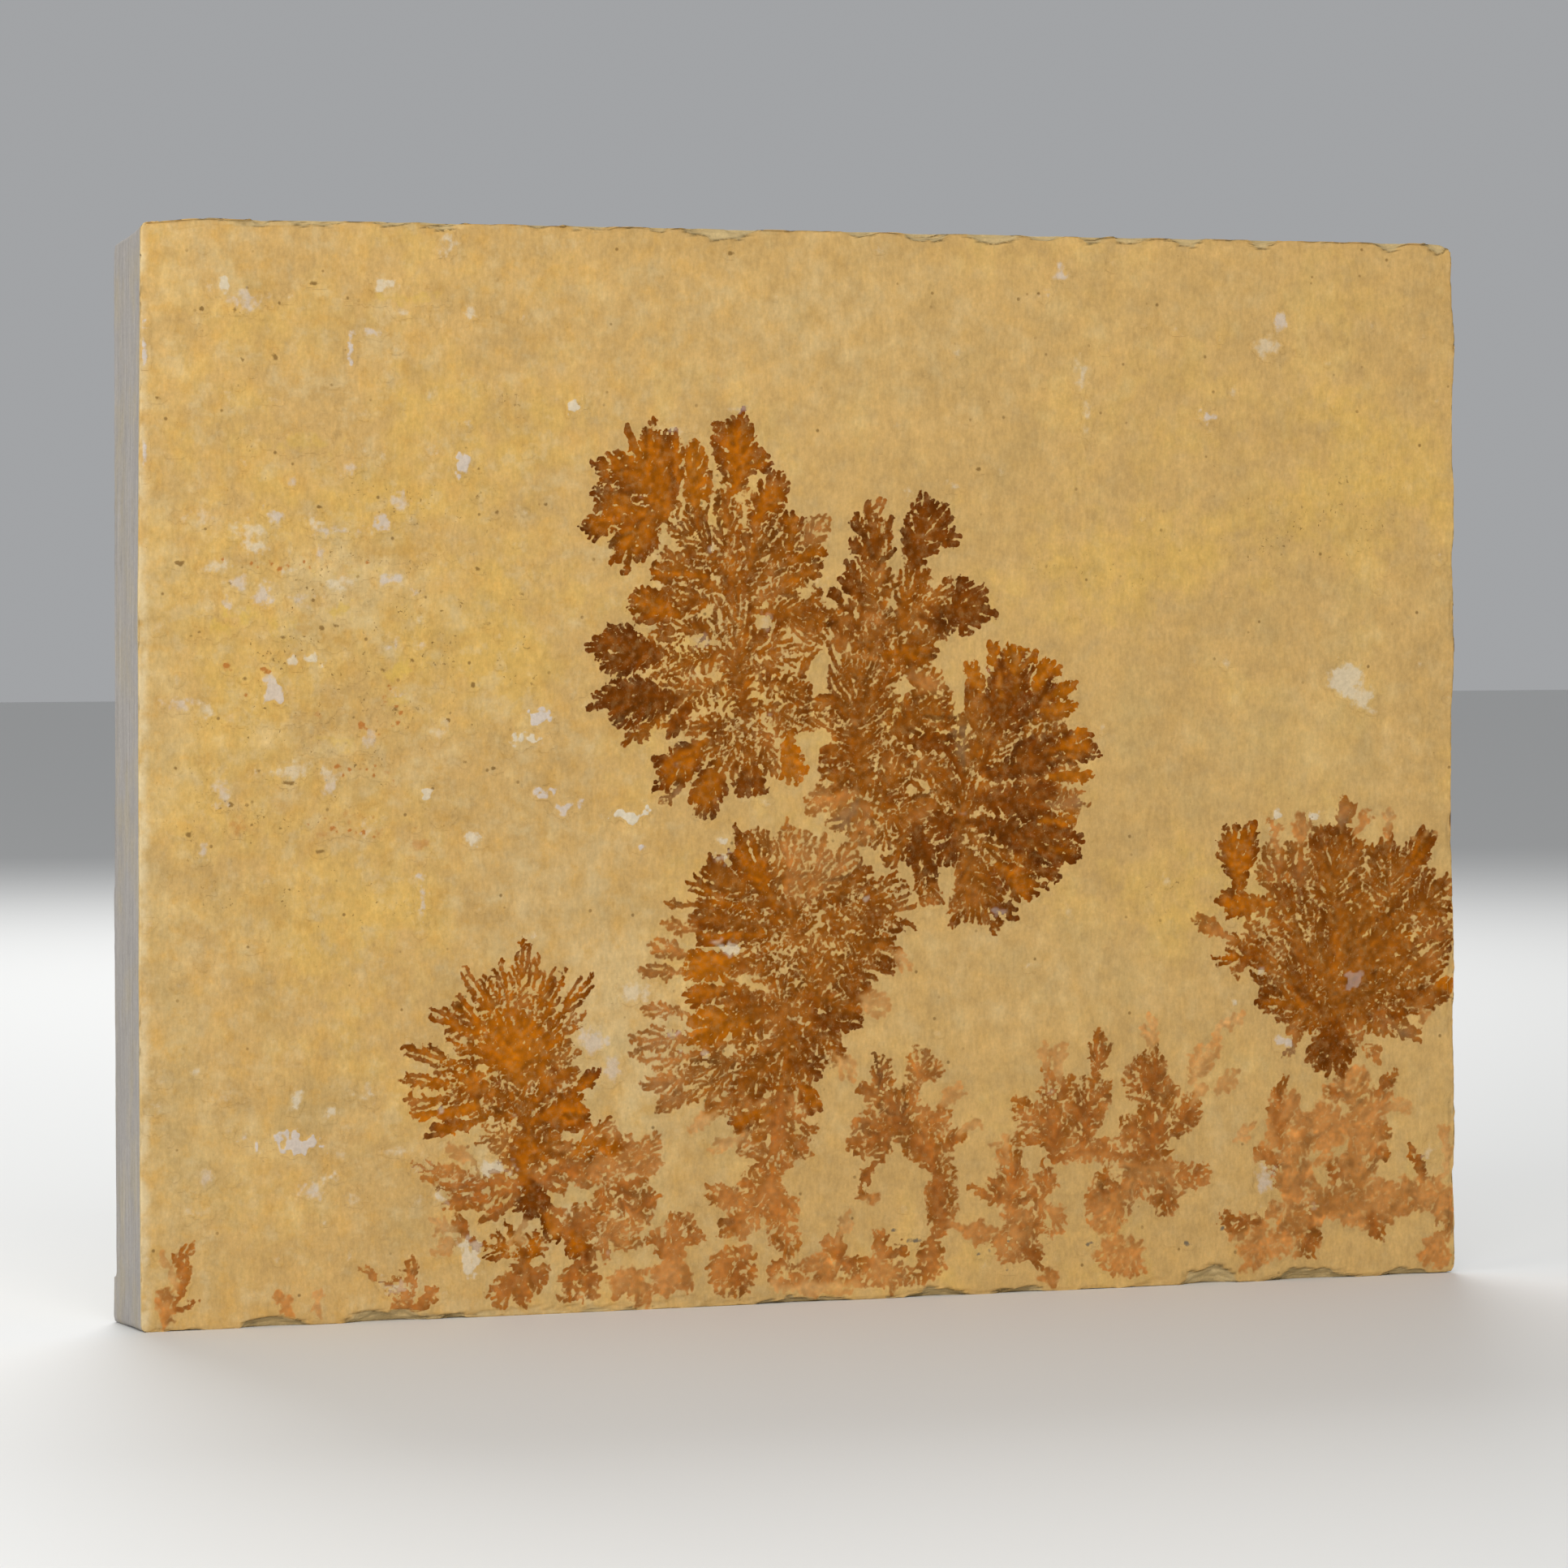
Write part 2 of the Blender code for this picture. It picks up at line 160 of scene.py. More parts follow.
LOWER = (
    (-6, 76, -9, 86, 5, "vein"), (-11, 84, -20, 99.5, 4, "rust"), (-10, 84, -14, 100, 3, "feather"),
    (-8, 84, -8.5, 101, 3.6, "frond"), (-6, 85, -4, 100.5, 2.6, "frond"), (-4, 85, 1, 98, 3, "frond"),
    (-2, 86, 8, 97, 3, "frond"), (-1, 84, 11, 92, 4.2, "vein"), (1, 82, 19.5, 88, 4.6, "open"),
    (2, 80, 20, 81.5, 3.6, "open"), (0, 77, 18, 75, 5, "vein"), (0, 73, 15, 70, 3.4, "thick"),
    (0, 69, 11, 66.5, 2.8, "thick"), (-2, 65, 9.5, 61.5, 3.2, "thick"), (-3, 61, 8, 57.5, 2.6, "dark"),
    (-4, 58, 4.5, 51.5, 3, "thick"), (-14, 84, -27.5, 93.5, 3.6, "thick"),
    (-14, 82, -31, 89.5, 3, "spray"), (-14, 80, -31, 84, 3.4, "thick"), (-14, 78, -30, 78.5, 2.6, "rust"),
    (-5, 79, -18, 81, 4, "vein"), (-4, 76, -20.5, 76, 2.6, "open"), (-3, 73, -21, 72, 2.6, "open"),
    (-3, 66, -3, 76, 5, "vein"), (-20, 73, -31.5, 71, 3.8, "ember"), (-21, 67, -32.5, 65, 2.4, "rust"),
    (-17, 60, -31.5, 58.5, 4.2, "ember"), (-9, 60, -25, 63.5, 4.4, "thick"), (-8, 62, -13, 69, 4, "open"),
    (-7, 62, -5, 70, 4.6, "vein"), (-9, 60, -8, 43.5, 6, "thick"), (-8, 52, 0, 48.5, 3, "dark"),
    (-6, 47, 0, 40, 2.4, "core"), (-12, 53, -20, 43, 4.4, "thick"), (-18, 56, -30, 54, 2.8, "feather"),
    (-18, 53, -32, 49, 3.2, "feather"), (-17, 50, -31, 45, 3, "feather"),
    (-16, 47, -27, 40, 2.8, "feather"), (-29, 57, -44, 56, 3, "frond"), (-29, 53, -41, 52, 2.4, "frond"),
    (-29, 49, -41, 46.5, 3.2, "frond"), (-29, 46, -38, 42, 2, "frond"), (-25, 41, -31, 37, 1.6, "faint"),
    (-30, 71, -41.5, 71, 1.8, "frond"), (-30, 74, -40, 77, 2.4, "frond"),
    (-29, 79, -36.5, 81, 1.2, "frond"), (-30, 85, -36, 85, 1.1, "feather"),
    (-31, 62, -42, 63.5, 1.8, "frond"), (8, 64, 15, 62, 3, "faint"), (2, 53, 7, 47, 2.6, "faint"),
    (15, 74, 20, 71, 2, "faint"), (-10, 45, -12, 30.5, 4.6, "bush"), (-12, 41, -22, 38.5, 2.2, "core"),
    (-9, 40, -1.5, 36.5, 2, "bush"), (-9, 36, -3, 31.5, 2, "bush"), (-18, 36, -27, 33, 1.5, "faint"),
    (-12, 33, -15.5, 26.5, 3, "bush"), (-11, 32, -8, 27.5, 2, "bush"), (-12, 28, -14, 16.5, 5.2, "bush"),
    (-16, 24, -20, 28, 1.6, "bush"), (-10, 22, -5, 20.5, 1.8, "bush"), (-10, 20, -7, 10.5, 2.8, "bush"),
    (-17, 21, -27, 25, 2.4, "bush"), (-16, 20, -24.5, 15.5, 2.2, "bush"),
)  # fmt: skip

LOWER_HOLES = (
    (-22, 76, 3.6, 1), (-20.5, 73.5, 1, 1.6), (-10, 52.5, 1.5, 2.6), (-8, 50.5, 2.4, 0.8),
    (-14.5, 48, 1.6, 1.6), (-15, 67.5, 4.5, 1.1), (-13, 35.3, 1.6, 1.6), (-15, 41.5, 2.2, 0.8),
    (-8.5, 43, 0.6, 1.6), (-4, 39, 1.6, 1), (-1.5, 61, 0.7, 1.4), (-4, 75.5, 0.9, 0.9),
    (1.5, 75, 1.2, 1.2), (4, 71.5, 1, 0.8), (-18, 69, 3, 0.9), (-26, 61.5, 2.4, 0.9), (-22, 55, 1, 2.4),
)  # fmt: skip

LOWER_BODY = (
    (-16, 92), (-10, 94), (-2, 93), (5, 90), (14, 86), (16, 80), (15, 74), (10, 70), (8, 64), (6, 58),
    (2, 53), (-2, 48), (-6, 46), (-12, 45), (-18, 48), (-20, 54), (-24, 60), (-22, 66), (-24, 72),
    (-26, 78), (-24, 84), (-20, 90),
)  # fmt: skip

LEFT = (
    (-67, 26, -67, 40, 3.6, "rust"), (-67, 38, -68, 52, 4, "open"), (-68, 48, -69, 64, 9, "ember"),
    (-70, 57, -80, 71.5, 2.3, "spray"), (-70, 58, -76.5, 72, 1.9, "spray"),
    (-69, 59, -73, 75, 1.9, "spray"), (-68, 60, -69, 77.5, 2.8, "spray"),
    (-67, 60, -65, 75.5, 2.2, "spray"), (-66, 59, -61, 73.5, 2, "spray"),
    (-65, 58, -58, 72, 1.7, "spray"), (-64, 58, -51.5, 71, 2.3, "spray"),
    (-63, 57, -54, 62.5, 2, "feather"), (-62, 55, -56, 57.5, 1.6, "feather"),
    (-62, 52, -53.5, 55, 1.8, "feather"), (-74, 58, -84, 67, 2, "spray"),
    (-74, 57, -87.5, 63.5, 2.6, "spray"), (-75, 55, -85.5, 57.5, 1.8, "spray"),
    (-76, 50, -94, 57, 2.2, "spray"), (-78, 49, -87, 53, 2.4, "spray"), (-74, 46, -84, 51.5, 3.6, "rust"),
    (-79, 48, -94.5, 50, 1.6, "spray"), (-78, 46, -95.5, 46, 3, "spray"),
    (-78, 44, -93, 42.5, 2.4, "ember"), (-76, 41, -89.5, 38.5, 1.5, "core"),
    (-67, 44, -77.5, 49, 3, "open"), (-68, 42, -80, 41.5, 2.8, "open"),
    (-68, 38, -77.5, 36, 3, "feather"), (-67, 34, -74, 31.5, 2.2, "feather"),
    (-66, 44, -60, 51.5, 3, "core"), (-62, 48, -55, 52.5, 1.6, "core"),
    (-65, 41, -51.5, 43.5, 4.2, "rust"), (-57, 45, -51, 50.5, 1.8, "core"),
    (-66, 37, -57, 35.5, 3.2, "open"), (-67, 40, -67, 30.5, 5.6, "ember"),
    (-67, 28, -80, 29, 1.6, "frond"), (-78, 29.5, -91.5, 32.5, 1.7, "frond"),
    (-69, 27, -88, 28.5, 1.9, "bush"), (-69, 25.5, -86, 24, 2, "bush"), (-69, 24, -77, 20.5, 1.8, "bush"),
    (-78, 32, -84, 36, 1.8, "faint"), (-66, 29, -66, 20.5, 4.2, "dark"),
    (-66, 29, -58, 26.5, 2.6, "bush"), (-66, 28, -73, 27, 2, "bush"), (-64, 22, -59.5, 15.5, 2.4, "core"),
    (-61, 22, -57.5, 21, 1.4, "bush"), (-62, 30, -54, 30, 2.6, "bush"), (-58, 31, -49, 41, 3.6, "spray"),
    (-56, 33, -45.5, 35.5, 2.4, "spray"), (-56, 29, -46, 29, 3.6, "worn"),
    (-48, 30, -42.5, 37, 2, "frond"), (-47, 30, -38, 36, 2.2, "frond"), (-47, 29, -36, 30.5, 2, "frond"),
    (-47, 27, -40, 27, 1.8, "bush"), (-50, 27, -51, 21, 2.2, "bush"), (-48, 26, -42, 24, 1.8, "bush"),
    (-47, 25, -40.5, 18.5, 2.6, "bush"), (-44, 20, -37, 25, 1.8, "bush"), (-59, 16, -51, 21, 3.8, "bush"),
    (-57, 17, -55, 11, 3, "core"), (-52, 14, -41.5, 17.5, 3.4, "frond"), (-55, 12, -58.5, 3, 2.6, "bush"),
    (-55, 11, -50, 2.5, 2.8, "bush"), (-68, 18, -70, 14, 1.8, "faint"), (-67, 10, -64, 17, 3, "spray"),
    (-68, 12, -77, 16, 2.8, "spray"), (-68, 13, -72, 19, 1.4, "spray"), (-68, 13, -68, 8, 3, "dark"),
    (-67, 10, -74.5, 3, 2.8, "bush"), (-67, 9, -62, 6, 2.8, "bush"), (-67, 8, -68.5, 1.5, 2.2, "bush"),
    (-79, 17, -83, 20.5, 1.5, "bush"), (-81, 18, -90, 21, 2, "faint"), (-81, 16, -88, 14, 1.8, "faint"),
)  # fmt: skip

LEFT_HOLES = (
    (-76.5, 51.5, 2.2, 1.4), (-67.8, 51.2, 0.9, 0.9), (-83, 45, 1.4, 0.6), (-57, 37.3, 2.6, 1.2),
    (-57, 24.5, 3.6, 2), (-66, 18.2, 2, 1.2), (-46, 31, 0.8, 3), (-66, 6, 1.8, 1.4),
)  # fmt: skip

LEFT_BODY = (
    (-78, 62), (-68, 68), (-60, 64), (-58, 58), (-56, 50), (-54, 44), (-60, 36), (-62, 30), (-64, 24),
    (-68, 24), (-72, 30), (-74, 38), (-82, 42), (-84, 48), (-82, 54),
)  # fmt: skip

FAR_RIGHT = (
    (121, 57, 120, 44.5, 5.6, "dusk"), (121, 54, 104, 64, 5, "thick"), (121, 56, 101, 74, 6, "thick"),
    (121, 58, 109, 86, 6, "thick"), (121, 58, 117, 80, 4, "mass"), (122, 58, 126, 82, 7, "mass"),
    (122, 58, 137, 80, 7, "mass"), (122, 57, 149.5, 72, 6, "thick"), (123, 58, 148, 62, 4, "thick"),
    (124, 58, 130, 72, 3.5, "dusk"), (118, 58, 108, 68, 2.6, "dusk"), (98, 86, 96.5, 101, 5, "rust"),
    (100, 93, 100.8, 101.5, 1.4, "rust"), (104, 82.5, 91.5, 82.5, 3.2, "rust"),
    (96, 75, 87.5, 79.5, 1.9, "worn"), (104, 72, 93, 76, 1.5, "spray"), (104, 71, 91, 70.5, 2, "spray"),
    (100, 71, 96, 66.5, 1.6, "bush"), (107, 94, 105.5, 101.5, 1.8, "salmon"),
    (113, 95, 113, 102, 2, "salmon"), (109, 82, 105, 94, 4, "bush"), (112, 84, 112, 95, 3.6, "bush"),
    (121, 78, 121, 99, 6.4, "thick"), (122, 97, 124, 105, 2.4, "ash"), (118, 95, 116, 99, 1.6, "bush"),
    (127, 98, 129, 102.5, 1.4, "salmon"), (134, 79, 135, 96, 6.4, "thick"),
    (134, 94, 134, 99, 1.6, "salmon"), (139, 88, 144, 98, 2.6, "rust"), (140, 96, 146, 97, 1.6, "faint"),
    (134, 98, 134, 103, 1.6, "faint"), (138, 78, 150, 86, 6, "thick"), (140, 72, 150, 77, 3, "bush"),
    (114, 60, 101, 61, 1.4, "core"), (114, 58, 110, 52, 2.2, "worn"), (128, 60, 137, 54, 3.6, "bush"),
    (132, 56, 142, 52, 2.6, "ash"), (127, 52, 132.5, 47, 1.8, "worn"), (140, 60, 145, 57, 2.2, "salmon"),
    (146, 63, 150.2, 62.5, 2.4, "ember"), (110, 66, 103, 63, 2.2, "ash"),
    (111, 50, 107.5, 49.5, 1.3, "ash"),
)  # fmt: skip

FAR_RIGHT_HOLES = (
    (112, 79, 0.9, 0.9), (114, 72.8, 0.9, 0.8), (109, 73, 1.3, 0.7), (129, 90, 0.8, 2.6),
    (112, 77, 1.2, 0.8), (117, 69, 0.8, 0.6), (108, 69, 1.4, 0.6), (139, 68, 0.8, 0.9),
    (137, 76, 0.9, 0.6), (129, 58, 1.6, 0.8), (110, 84, 1.4, 0.7), (146, 77, 1, 0.6),
    (106.5, 88, 1.2, 1.2), (141, 78, 1.6, 1.4), (143, 72, 1, 1.6), (121, 66, 0.7, 1.6),
    (134, 58, 1.2, 1.2), (98, 85, 0.6, 1.2), (110, 60, 1, 0.8), (134, 86, 2, 0.8),
)  # fmt: skip

FAR_RIGHT_BODY = (
    (104, 84), (106, 92), (114, 93), (118, 96), (126, 96), (132, 94), (138, 92), (144, 84), (147, 78),
    (146, 70), (145, 62), (138, 56), (130, 54), (126, 48), (117, 48), (114, 56), (106, 62), (104, 68),
    (100, 70), (98, 76), (100, 80),
)  # fmt: skip

BOTTOM = (
    (27, 13, 27, 28, 3.2, "bush"), (26, 26, 21, 37, 4, "bush"), (20, 35, 13, 44, 4.4, "bush"),
    (13, 42, 14, 51.5, 2.8, "sprig"), (18, 38, 21.5, 46, 2.8, "sprig"), (21, 44, 23, 54.5, 3.4, "frond"),
    (23, 46, 28, 50, 2, "frond"), (23, 36, 29, 39.5, 2.6, "sprig"), (27, 41, 32, 45, 2, "faint"),
    (28, 32, 33, 35.5, 1.5, "bush"), (32, 35, 36, 37, 1.4, "faint"), (17, 37, 6, 38.5, 2.3, "sprig"),
    (15, 36, 6, 31.5, 2.4, "sprig"), (15, 35, 12.5, 29.5, 2, "bush"), (12, 29, 8, 23.5, 1.3, "bush"),
    (9, 22, 12.8, 21, 1.2, "salmon"), (13, 43, 8, 46, 1.8, "bush"), (54, 28, 52, 41, 4.2, "bush"),
    (53, 38, 51, 48.5, 2.8, "sprig"), (53, 40, 57, 46, 2.2, "bush"), (52, 46, 51, 54, 1.9, "faint"),
    (55, 45, 55.5, 53, 1.5, "faint"), (53, 35, 44, 40, 2.8, "sprig"), (53, 33, 45, 33, 1.5, "bush"),
    (60, 29, 62, 47, 4.2, "sprig"), (62, 40, 67, 44, 1.9, "bush"), (63, 45, 65.5, 55, 2.4, "sprig"),
    (60, 36, 57.5, 42, 1.4, "bush"), (77, 28, 78, 42, 4.2, "bush"), (77, 38, 71, 47, 2.8, "sprig"),
    (77, 40, 73.5, 50.5, 2, "sprig"), (78, 40, 77.5, 51.5, 2.6, "sprig"),
    (79, 40, 82, 43.5, 1.4, "sprig"), (77, 50, 76, 60, 2.2, "faint"), (74, 30, 71, 37, 2, "bush"),
    (81, 33, 88.5, 40, 3.4, "sprig"), (86, 39, 90, 44, 1.6, "faint"), (57, 29.5, 80, 28.5, 1.2, "bush"),
    (66, 28, 66, 33, 1.6, "bush"), (44, 17, 43.5, 30.5, 3.4, "sprig"), (43, 27, 41, 34, 2.4, "faint"),
    (43, 20, 34, 23, 2, "bush"), (41, 21, 37.5, 26.5, 1.4, "bush"), (50, 19, 53, 28, 2.4, "sprig"),
    (47, 20, 52, 21, 1.6, "bush"), (68, 20, 61, 21.5, 1.8, "bush"), (68, 21, 65, 26, 2, "bush"),
    (70, 27, 84, 24, 4, "salmon"), (80, 24, 91, 24, 2.4, "sprig"), (79, 22, 82, 16, 2.2, "bush"),
    (72, 26, 71, 18, 2, "salmon"), (69, 21, 64, 13, 3.8, "salmon"), (68, 13, 73, 3, 3.8, "salmon"),
    (68, 11, 64.5, 6, 2.4, "salmon"), (47, 17, 42, 7.5, 3.8, "salmon"), (45, 11, 51, 6, 2, "bush"),
    (46, 14, 49, 15, 2, "bush"), (52, 18, 57, 15, 2, "salmon"), (53, 1, 52, 5.5, 2.2, "salmon"),
    (30, 15, 39, 11.5, 1.8, "salmon"), (26, 14, 23, 3.5, 2.8, "bush"), (14, 9, 12, 16, 2.2, "sprig"),
    (14, 9, 18.5, 11, 1.4, "bush"), (12, 8, 16, 2.5, 3, "salmon"), (12, 8, 8, 7, 1.4, "bush"),
    (4, 8, 1.5, 14.5, 2.6, "sprig"), (3, 12, 6, 19, 1.8, "faint"), (4, 8, 9.5, 7, 1.8, "bush"),
    (5, 8, -4, 6, 3.2, "salmon"), (-19, 12, -26, 7, 2.6, "bush"), (-19, 10, -20, 2, 3.2, "bush"),
    (-19, 10, -14, 8, 1.8, "bush"), (-10, 9, -14, 4.5, 1.8, "bush"), (-10, 3, 8, 3.5, 2.4, "faint"),
    (-42, 8, -48.5, 5, 2.8, "salmon"), (-43, 9, -42, 1, 3, "salmon"), (-33, 11, -37.5, 4, 2.8, "salmon"),
    (-33, 10, -31, 4, 2.4, "salmon"), (-34, 10, -39.5, 16, 2.4, "bush"), (-34, 11, -33, 21, 2.8, "sprig"),
    (-33, 12, -27.5, 17, 2.2, "sprig"), (-92, 2, -96, 9, 2.4, "frond"), (-92, 3, -92.5, 13.5, 2, "frond"),
    (-90, 2, -86.5, 7.5, 2, "bush"), (-92, 2, -98, 3, 1.6, "frond"), (-99, 8, -103.5, 11, 1.2, "frond"),
    (-145, 1, -144.5, 8, 1.8, "salmon"), (-141, 4, -138, 7.5, 1.6, "bush"),
    (-142, 8, -141, 17, 1.6, "bush"), (-143, 9, -145.5, 16, 1, "faint"),
    (-118, 2, -121, 6.5, 1.4, "salmon"), (-112, 2, -112.5, 8, 1.2, "faint"),
)  # fmt: skip

BOTTOM_HOLES = (
    (67, 36, 2.6, 2.6), (53, 16, 2, 2.4), (75, 33, 1.4, 1.2), (63, 28, 1.4, 0.7),
)  # fmt: skip

CORNER = (
    (108, 29, 107.5, 43.5, 2.3, "sprig"), (107, 36, 104, 39.5, 1.4, "bush"),
    (108, 36, 112, 39.5, 1.8, "salmon"), (107, 25, 102, 30, 2.2, "bush"),
    (112, 18, 107, 28, 4.6, "salmon"), (125, 33, 113, 34, 3.4, "salmon"),
    (127, 36, 124, 47, 4.2, "salmon"), (122, 40, 119, 41.5, 1.4, "bush"),
    (128, 29, 131, 40.5, 4, "salmon"), (130, 33, 134.5, 31, 1.8, "frond"),
    (131, 40, 136, 45, 1.5, "bush"), (128, 20, 126, 29.5, 5, "salmon"), (130, 27, 134, 27, 1.8, "bush"),
    (121, 21, 120, 26, 1.2, "bush"), (120, 14, 141, 17, 4.4, "salmon"), (118, 15, 128, 18, 4, "salmon"),
    (122, 14, 112, 20, 3.4, "salmon"), (115, 12, 115.5, 5, 2.6, "bush"), (118, 13, 112, 9, 2, "salmon"),
    (130, 13, 131.5, 7.5, 2, "bush"), (104, 13, 93, 12.5, 2.2, "sprig"), (95, 13, 94, 16, 1.2, "bush"),
    (104, 13, 106, 17, 1.6, "salmon"), (103, 10, 100.5, 2.5, 3, "salmon"),
    (104, 9, 107, 5.5, 1.6, "salmon"), (110, 8, 106, 11, 2, "salmon"), (143, 21, 140, 30, 1.5, "sprig"),
    (138, 17, 147, 18.5, 3.6, "salmon"), (147, 21, 149.5, 9, 3.2, "salmon"),
    (147, 9, 146, 1.5, 3.2, "salmon"), (149, 22, 148.5, 33, 1.5, "faint"), (97, 31, 101, 34, 2, "faint"),
    (86, 44, 92, 53, 3, "faint"), (92, 42, 98, 46, 2.4, "faint"), (93, 56, 99, 58, 1.6, "faint"),
    (134, 37, 140, 38, 2, "faint"),
)  # fmt: skip

CORNER_HOLES = (
    (114, 38, 2.4, 1.8), (123, 37, 2.2, 2.4), (122, 28, 2, 2.2), (117, 22, 1.4, 3), (122, 17, 1.4, 0.9),
    (102, 14.5, 1.6, 1), (137, 12, 2.4, 1.4),
)  # fmt: skip

# Mineral colours, sRGB from 0 to 255.
NIGHT = (100, 47, 1)
DARK = (117, 59, 2)
BROWN = (143, 80, 12)
RUST = (164, 90, 3)
EMBER = (170, 96, 6)
CLAY = (168, 102, 42)
RUSSET = (156, 88, 28)
SALMON = (190, 122, 58)
ASH = (138, 96, 58)
BLUSH = (204, 148, 88)


# Where half the gap between twigs is below this, in mm, they have run together into a solid leaf.
SOLID_GAP = -0.25


class Kind:
    """How one sort of twig grows: spacing, half width, half the gap between twigs in the middle of a fan and
    at its tips (mm), colours of middle and rim, strength of the film, how much of it is worn through, how far
    its edge fades into the stone (mm), and how deeply its outline is lobed."""

    def __init__(
        self, spacing, twig, core_gap, tip_gap, core, rim, strength=1.0, wear=0.1, fade=0.08, lobed=1.0
    ):
        self.spacing = spacing
        self.twig = twig
        self.core_gap = core_gap
        self.tip_gap = tip_gap
        self.core = core
        self.rim = rim
        self.strength = strength
        self.wear = wear
        self.fade = fade
        self.lobed = lobed

    @property
    def solid(self):
        return self.core_gap < SOLID_GAP


KINDS = {
    "rust": Kind(0.95, 0.65, -0.40, 0.09, RUST, DARK, wear=0.04),
    "ember": Kind(0.95, 0.65, -0.40, 0.09, EMBER, RUST, wear=0.04),
    "dark": Kind(0.95, 0.65, -0.35, 0.09, DARK, NIGHT, wear=0.04),
    "core": Kind(0.95, 0.63, -0.30, 0.09, RUST, NIGHT, wear=0.04),
    "open": Kind(0.98, 0.50, -0.02, 0.11, BROWN, DARK, fade=0.14),
    "vein": Kind(0.93, 0.54, -0.04, 0.09, BROWN, DARK, wear=0.15, fade=0.2),
    "thick": Kind(0.92, 0.58, -0.10, 0.09, BROWN, DARK, wear=0.2, fade=0.22),
    "mass": Kind(0.95, 0.70, -0.45, -0.02, BROWN, BROWN, wear=0.5, fade=0.25),
    "dusk": Kind(0.95, 0.64, -0.35, 0.04, DARK, DARK, wear=0.3, fade=0.2),
    "worn": Kind(0.95, 0.56, -0.05, 0.08, CLAY, BROWN, 0.9, 0.5, 0.25),
    "ash": Kind(0.95, 0.54, -0.02, 0.10, ASH, BROWN, 0.95, 0.4, 0.2),
    "spray": Kind(1.05, 0.48, -0.06, 0.11, RUST, DARK, fade=0.12),
    "feather": Kind(0.92, 0.40, -0.01, 0.11, BROWN, BROWN, 0.95, fade=0.18),
    "frond": Kind(0.88, 0.38, -0.01, 0.11, CLAY, BROWN, 0.9, fade=0.28),
    "salmon": Kind(1.00, 0.52, -0.16, 0.18, SALMON, CLAY, 0.84, 0.5, 0.6, 1.7),
    "bush": Kind(0.92, 0.50, -0.28, 0.15, RUSSET, BROWN, 0.95, 0.45, 0.22, 1.8),
    "sprig": Kind(0.95, 0.50, -0.17, 0.14, RUSSET, BROWN, 0.95, 0.4, 0.2, 1.8),
    "scrub": Kind(0.92, 0.47, -0.17, 0.16, CLAY, RUSSET, 0.9, 0.4, 0.3, 1.7),
    "faint": Kind(1.05, 0.44, -0.02, 0.10, BLUSH, SALMON, 0.65, 0.4, 0.5),
}

# Outlines at the slab's foot that finer twigs fill.
FOOT_THICKETS = (
    ((44, 33), (45, 39), (49, 41), (51, 47), (55, 48), (58, 44), (61, 46), (66, 45), (67, 40), (65, 37),
     (63, 33), (66, 30), (62, 27), (56, 28), (53, 32), (49, 34)),
    ((70, 44), (70, 48), (73, 50), (75, 46), (76, 50), (80, 50), (81, 45), (84, 42), (88, 42), (88, 36),
     (85, 33), (82, 34), (80, 30), (76, 27), (66, 27), (58, 27), (57, 30), (62, 30), (66, 33), (69, 35),
     (72, 36), (75, 41)),
    ((61, 16), (61, 22), (65, 26), (70, 27), (78, 28), (84, 27), (91, 24), (90, 21), (84, 20), (83, 16),
     (78, 15), (76, 19), (72, 18), (72, 14), (68, 12), (63, 13)),
    ((63, 6), (65, 10), (70, 10), (74, 7), (76, 3), (72, 2), (66, 3)),
    ((38, 9), (41, 14), (40, 20), (40, 27), (42, 31), (45, 29), (47, 24), (53, 27), (55, 23), (50, 19),
     (57, 17), (56, 13), (51, 11), (51, 8), (47, 6), (42, 6)),
    ((-26, 7), (-22, 10), (-17, 12), (-16, 7), (-16, 2), (-24, 2)),
    ((5, 31), (6, 38), (10, 39), (9, 42), (12, 48), (16, 44), (22, 47), (22, 41), (29, 40), (30, 35),
     (30, 26), (32, 22), (31, 16), (25, 16), (23, 21), (25, 26), (24, 33), (18, 35), (15, 31), (10, 30)),
    ((-14, 8), (-8, 9), (-2, 8), (0, 13), (4, 13), (6, 8), (10, 8), (12, 13), (15, 11), (18, 8), (21, 6),
     (23, 10), (28, 10), (29, 5), (26, 3), (13, 2), (5, 3), (-5, 3), (-13, 5)),
    ((-40, 15), (-34, 20), (-30, 20), (-28, 16), (-31, 12), (-30, 3), (-36, 3), (-42, 1), (-48, 3),
     (-47, 8), (-42, 9), (-36, 9), (-36, 12)),
)  # fmt: skip
CORNER_THICKETS = (
    ((101, 26), (104, 31), (105, 40), (108, 43), (111, 40), (112, 37), (116, 37), (119, 42), (122, 45),
     (126, 47), (130, 44), (129, 41), (132, 40), (133, 32), (134, 27), (130, 24), (135, 20), (128, 18),
     (120, 20), (122, 24), (118, 26), (116, 23), (115, 19), (110, 18), (106, 21), (106, 26)),
    ((110, 12), (113, 17), (120, 16), (126, 18), (135, 20), (140, 22), (146, 22), (149, 18), (149, 13),
     (144, 13), (138, 14), (130, 9), (126, 11), (122, 12), (118, 13), (114, 11)),
    ((94, 12), (95, 15), (104, 15), (108, 19), (114, 17), (118, 13), (118, 7), (113, 5), (108, 5),
     (104, 3), (99, 3), (98, 7), (96, 10)),
    ((143, 8), (149, 10), (149, 1), (146, 1)),
)  # fmt: skip
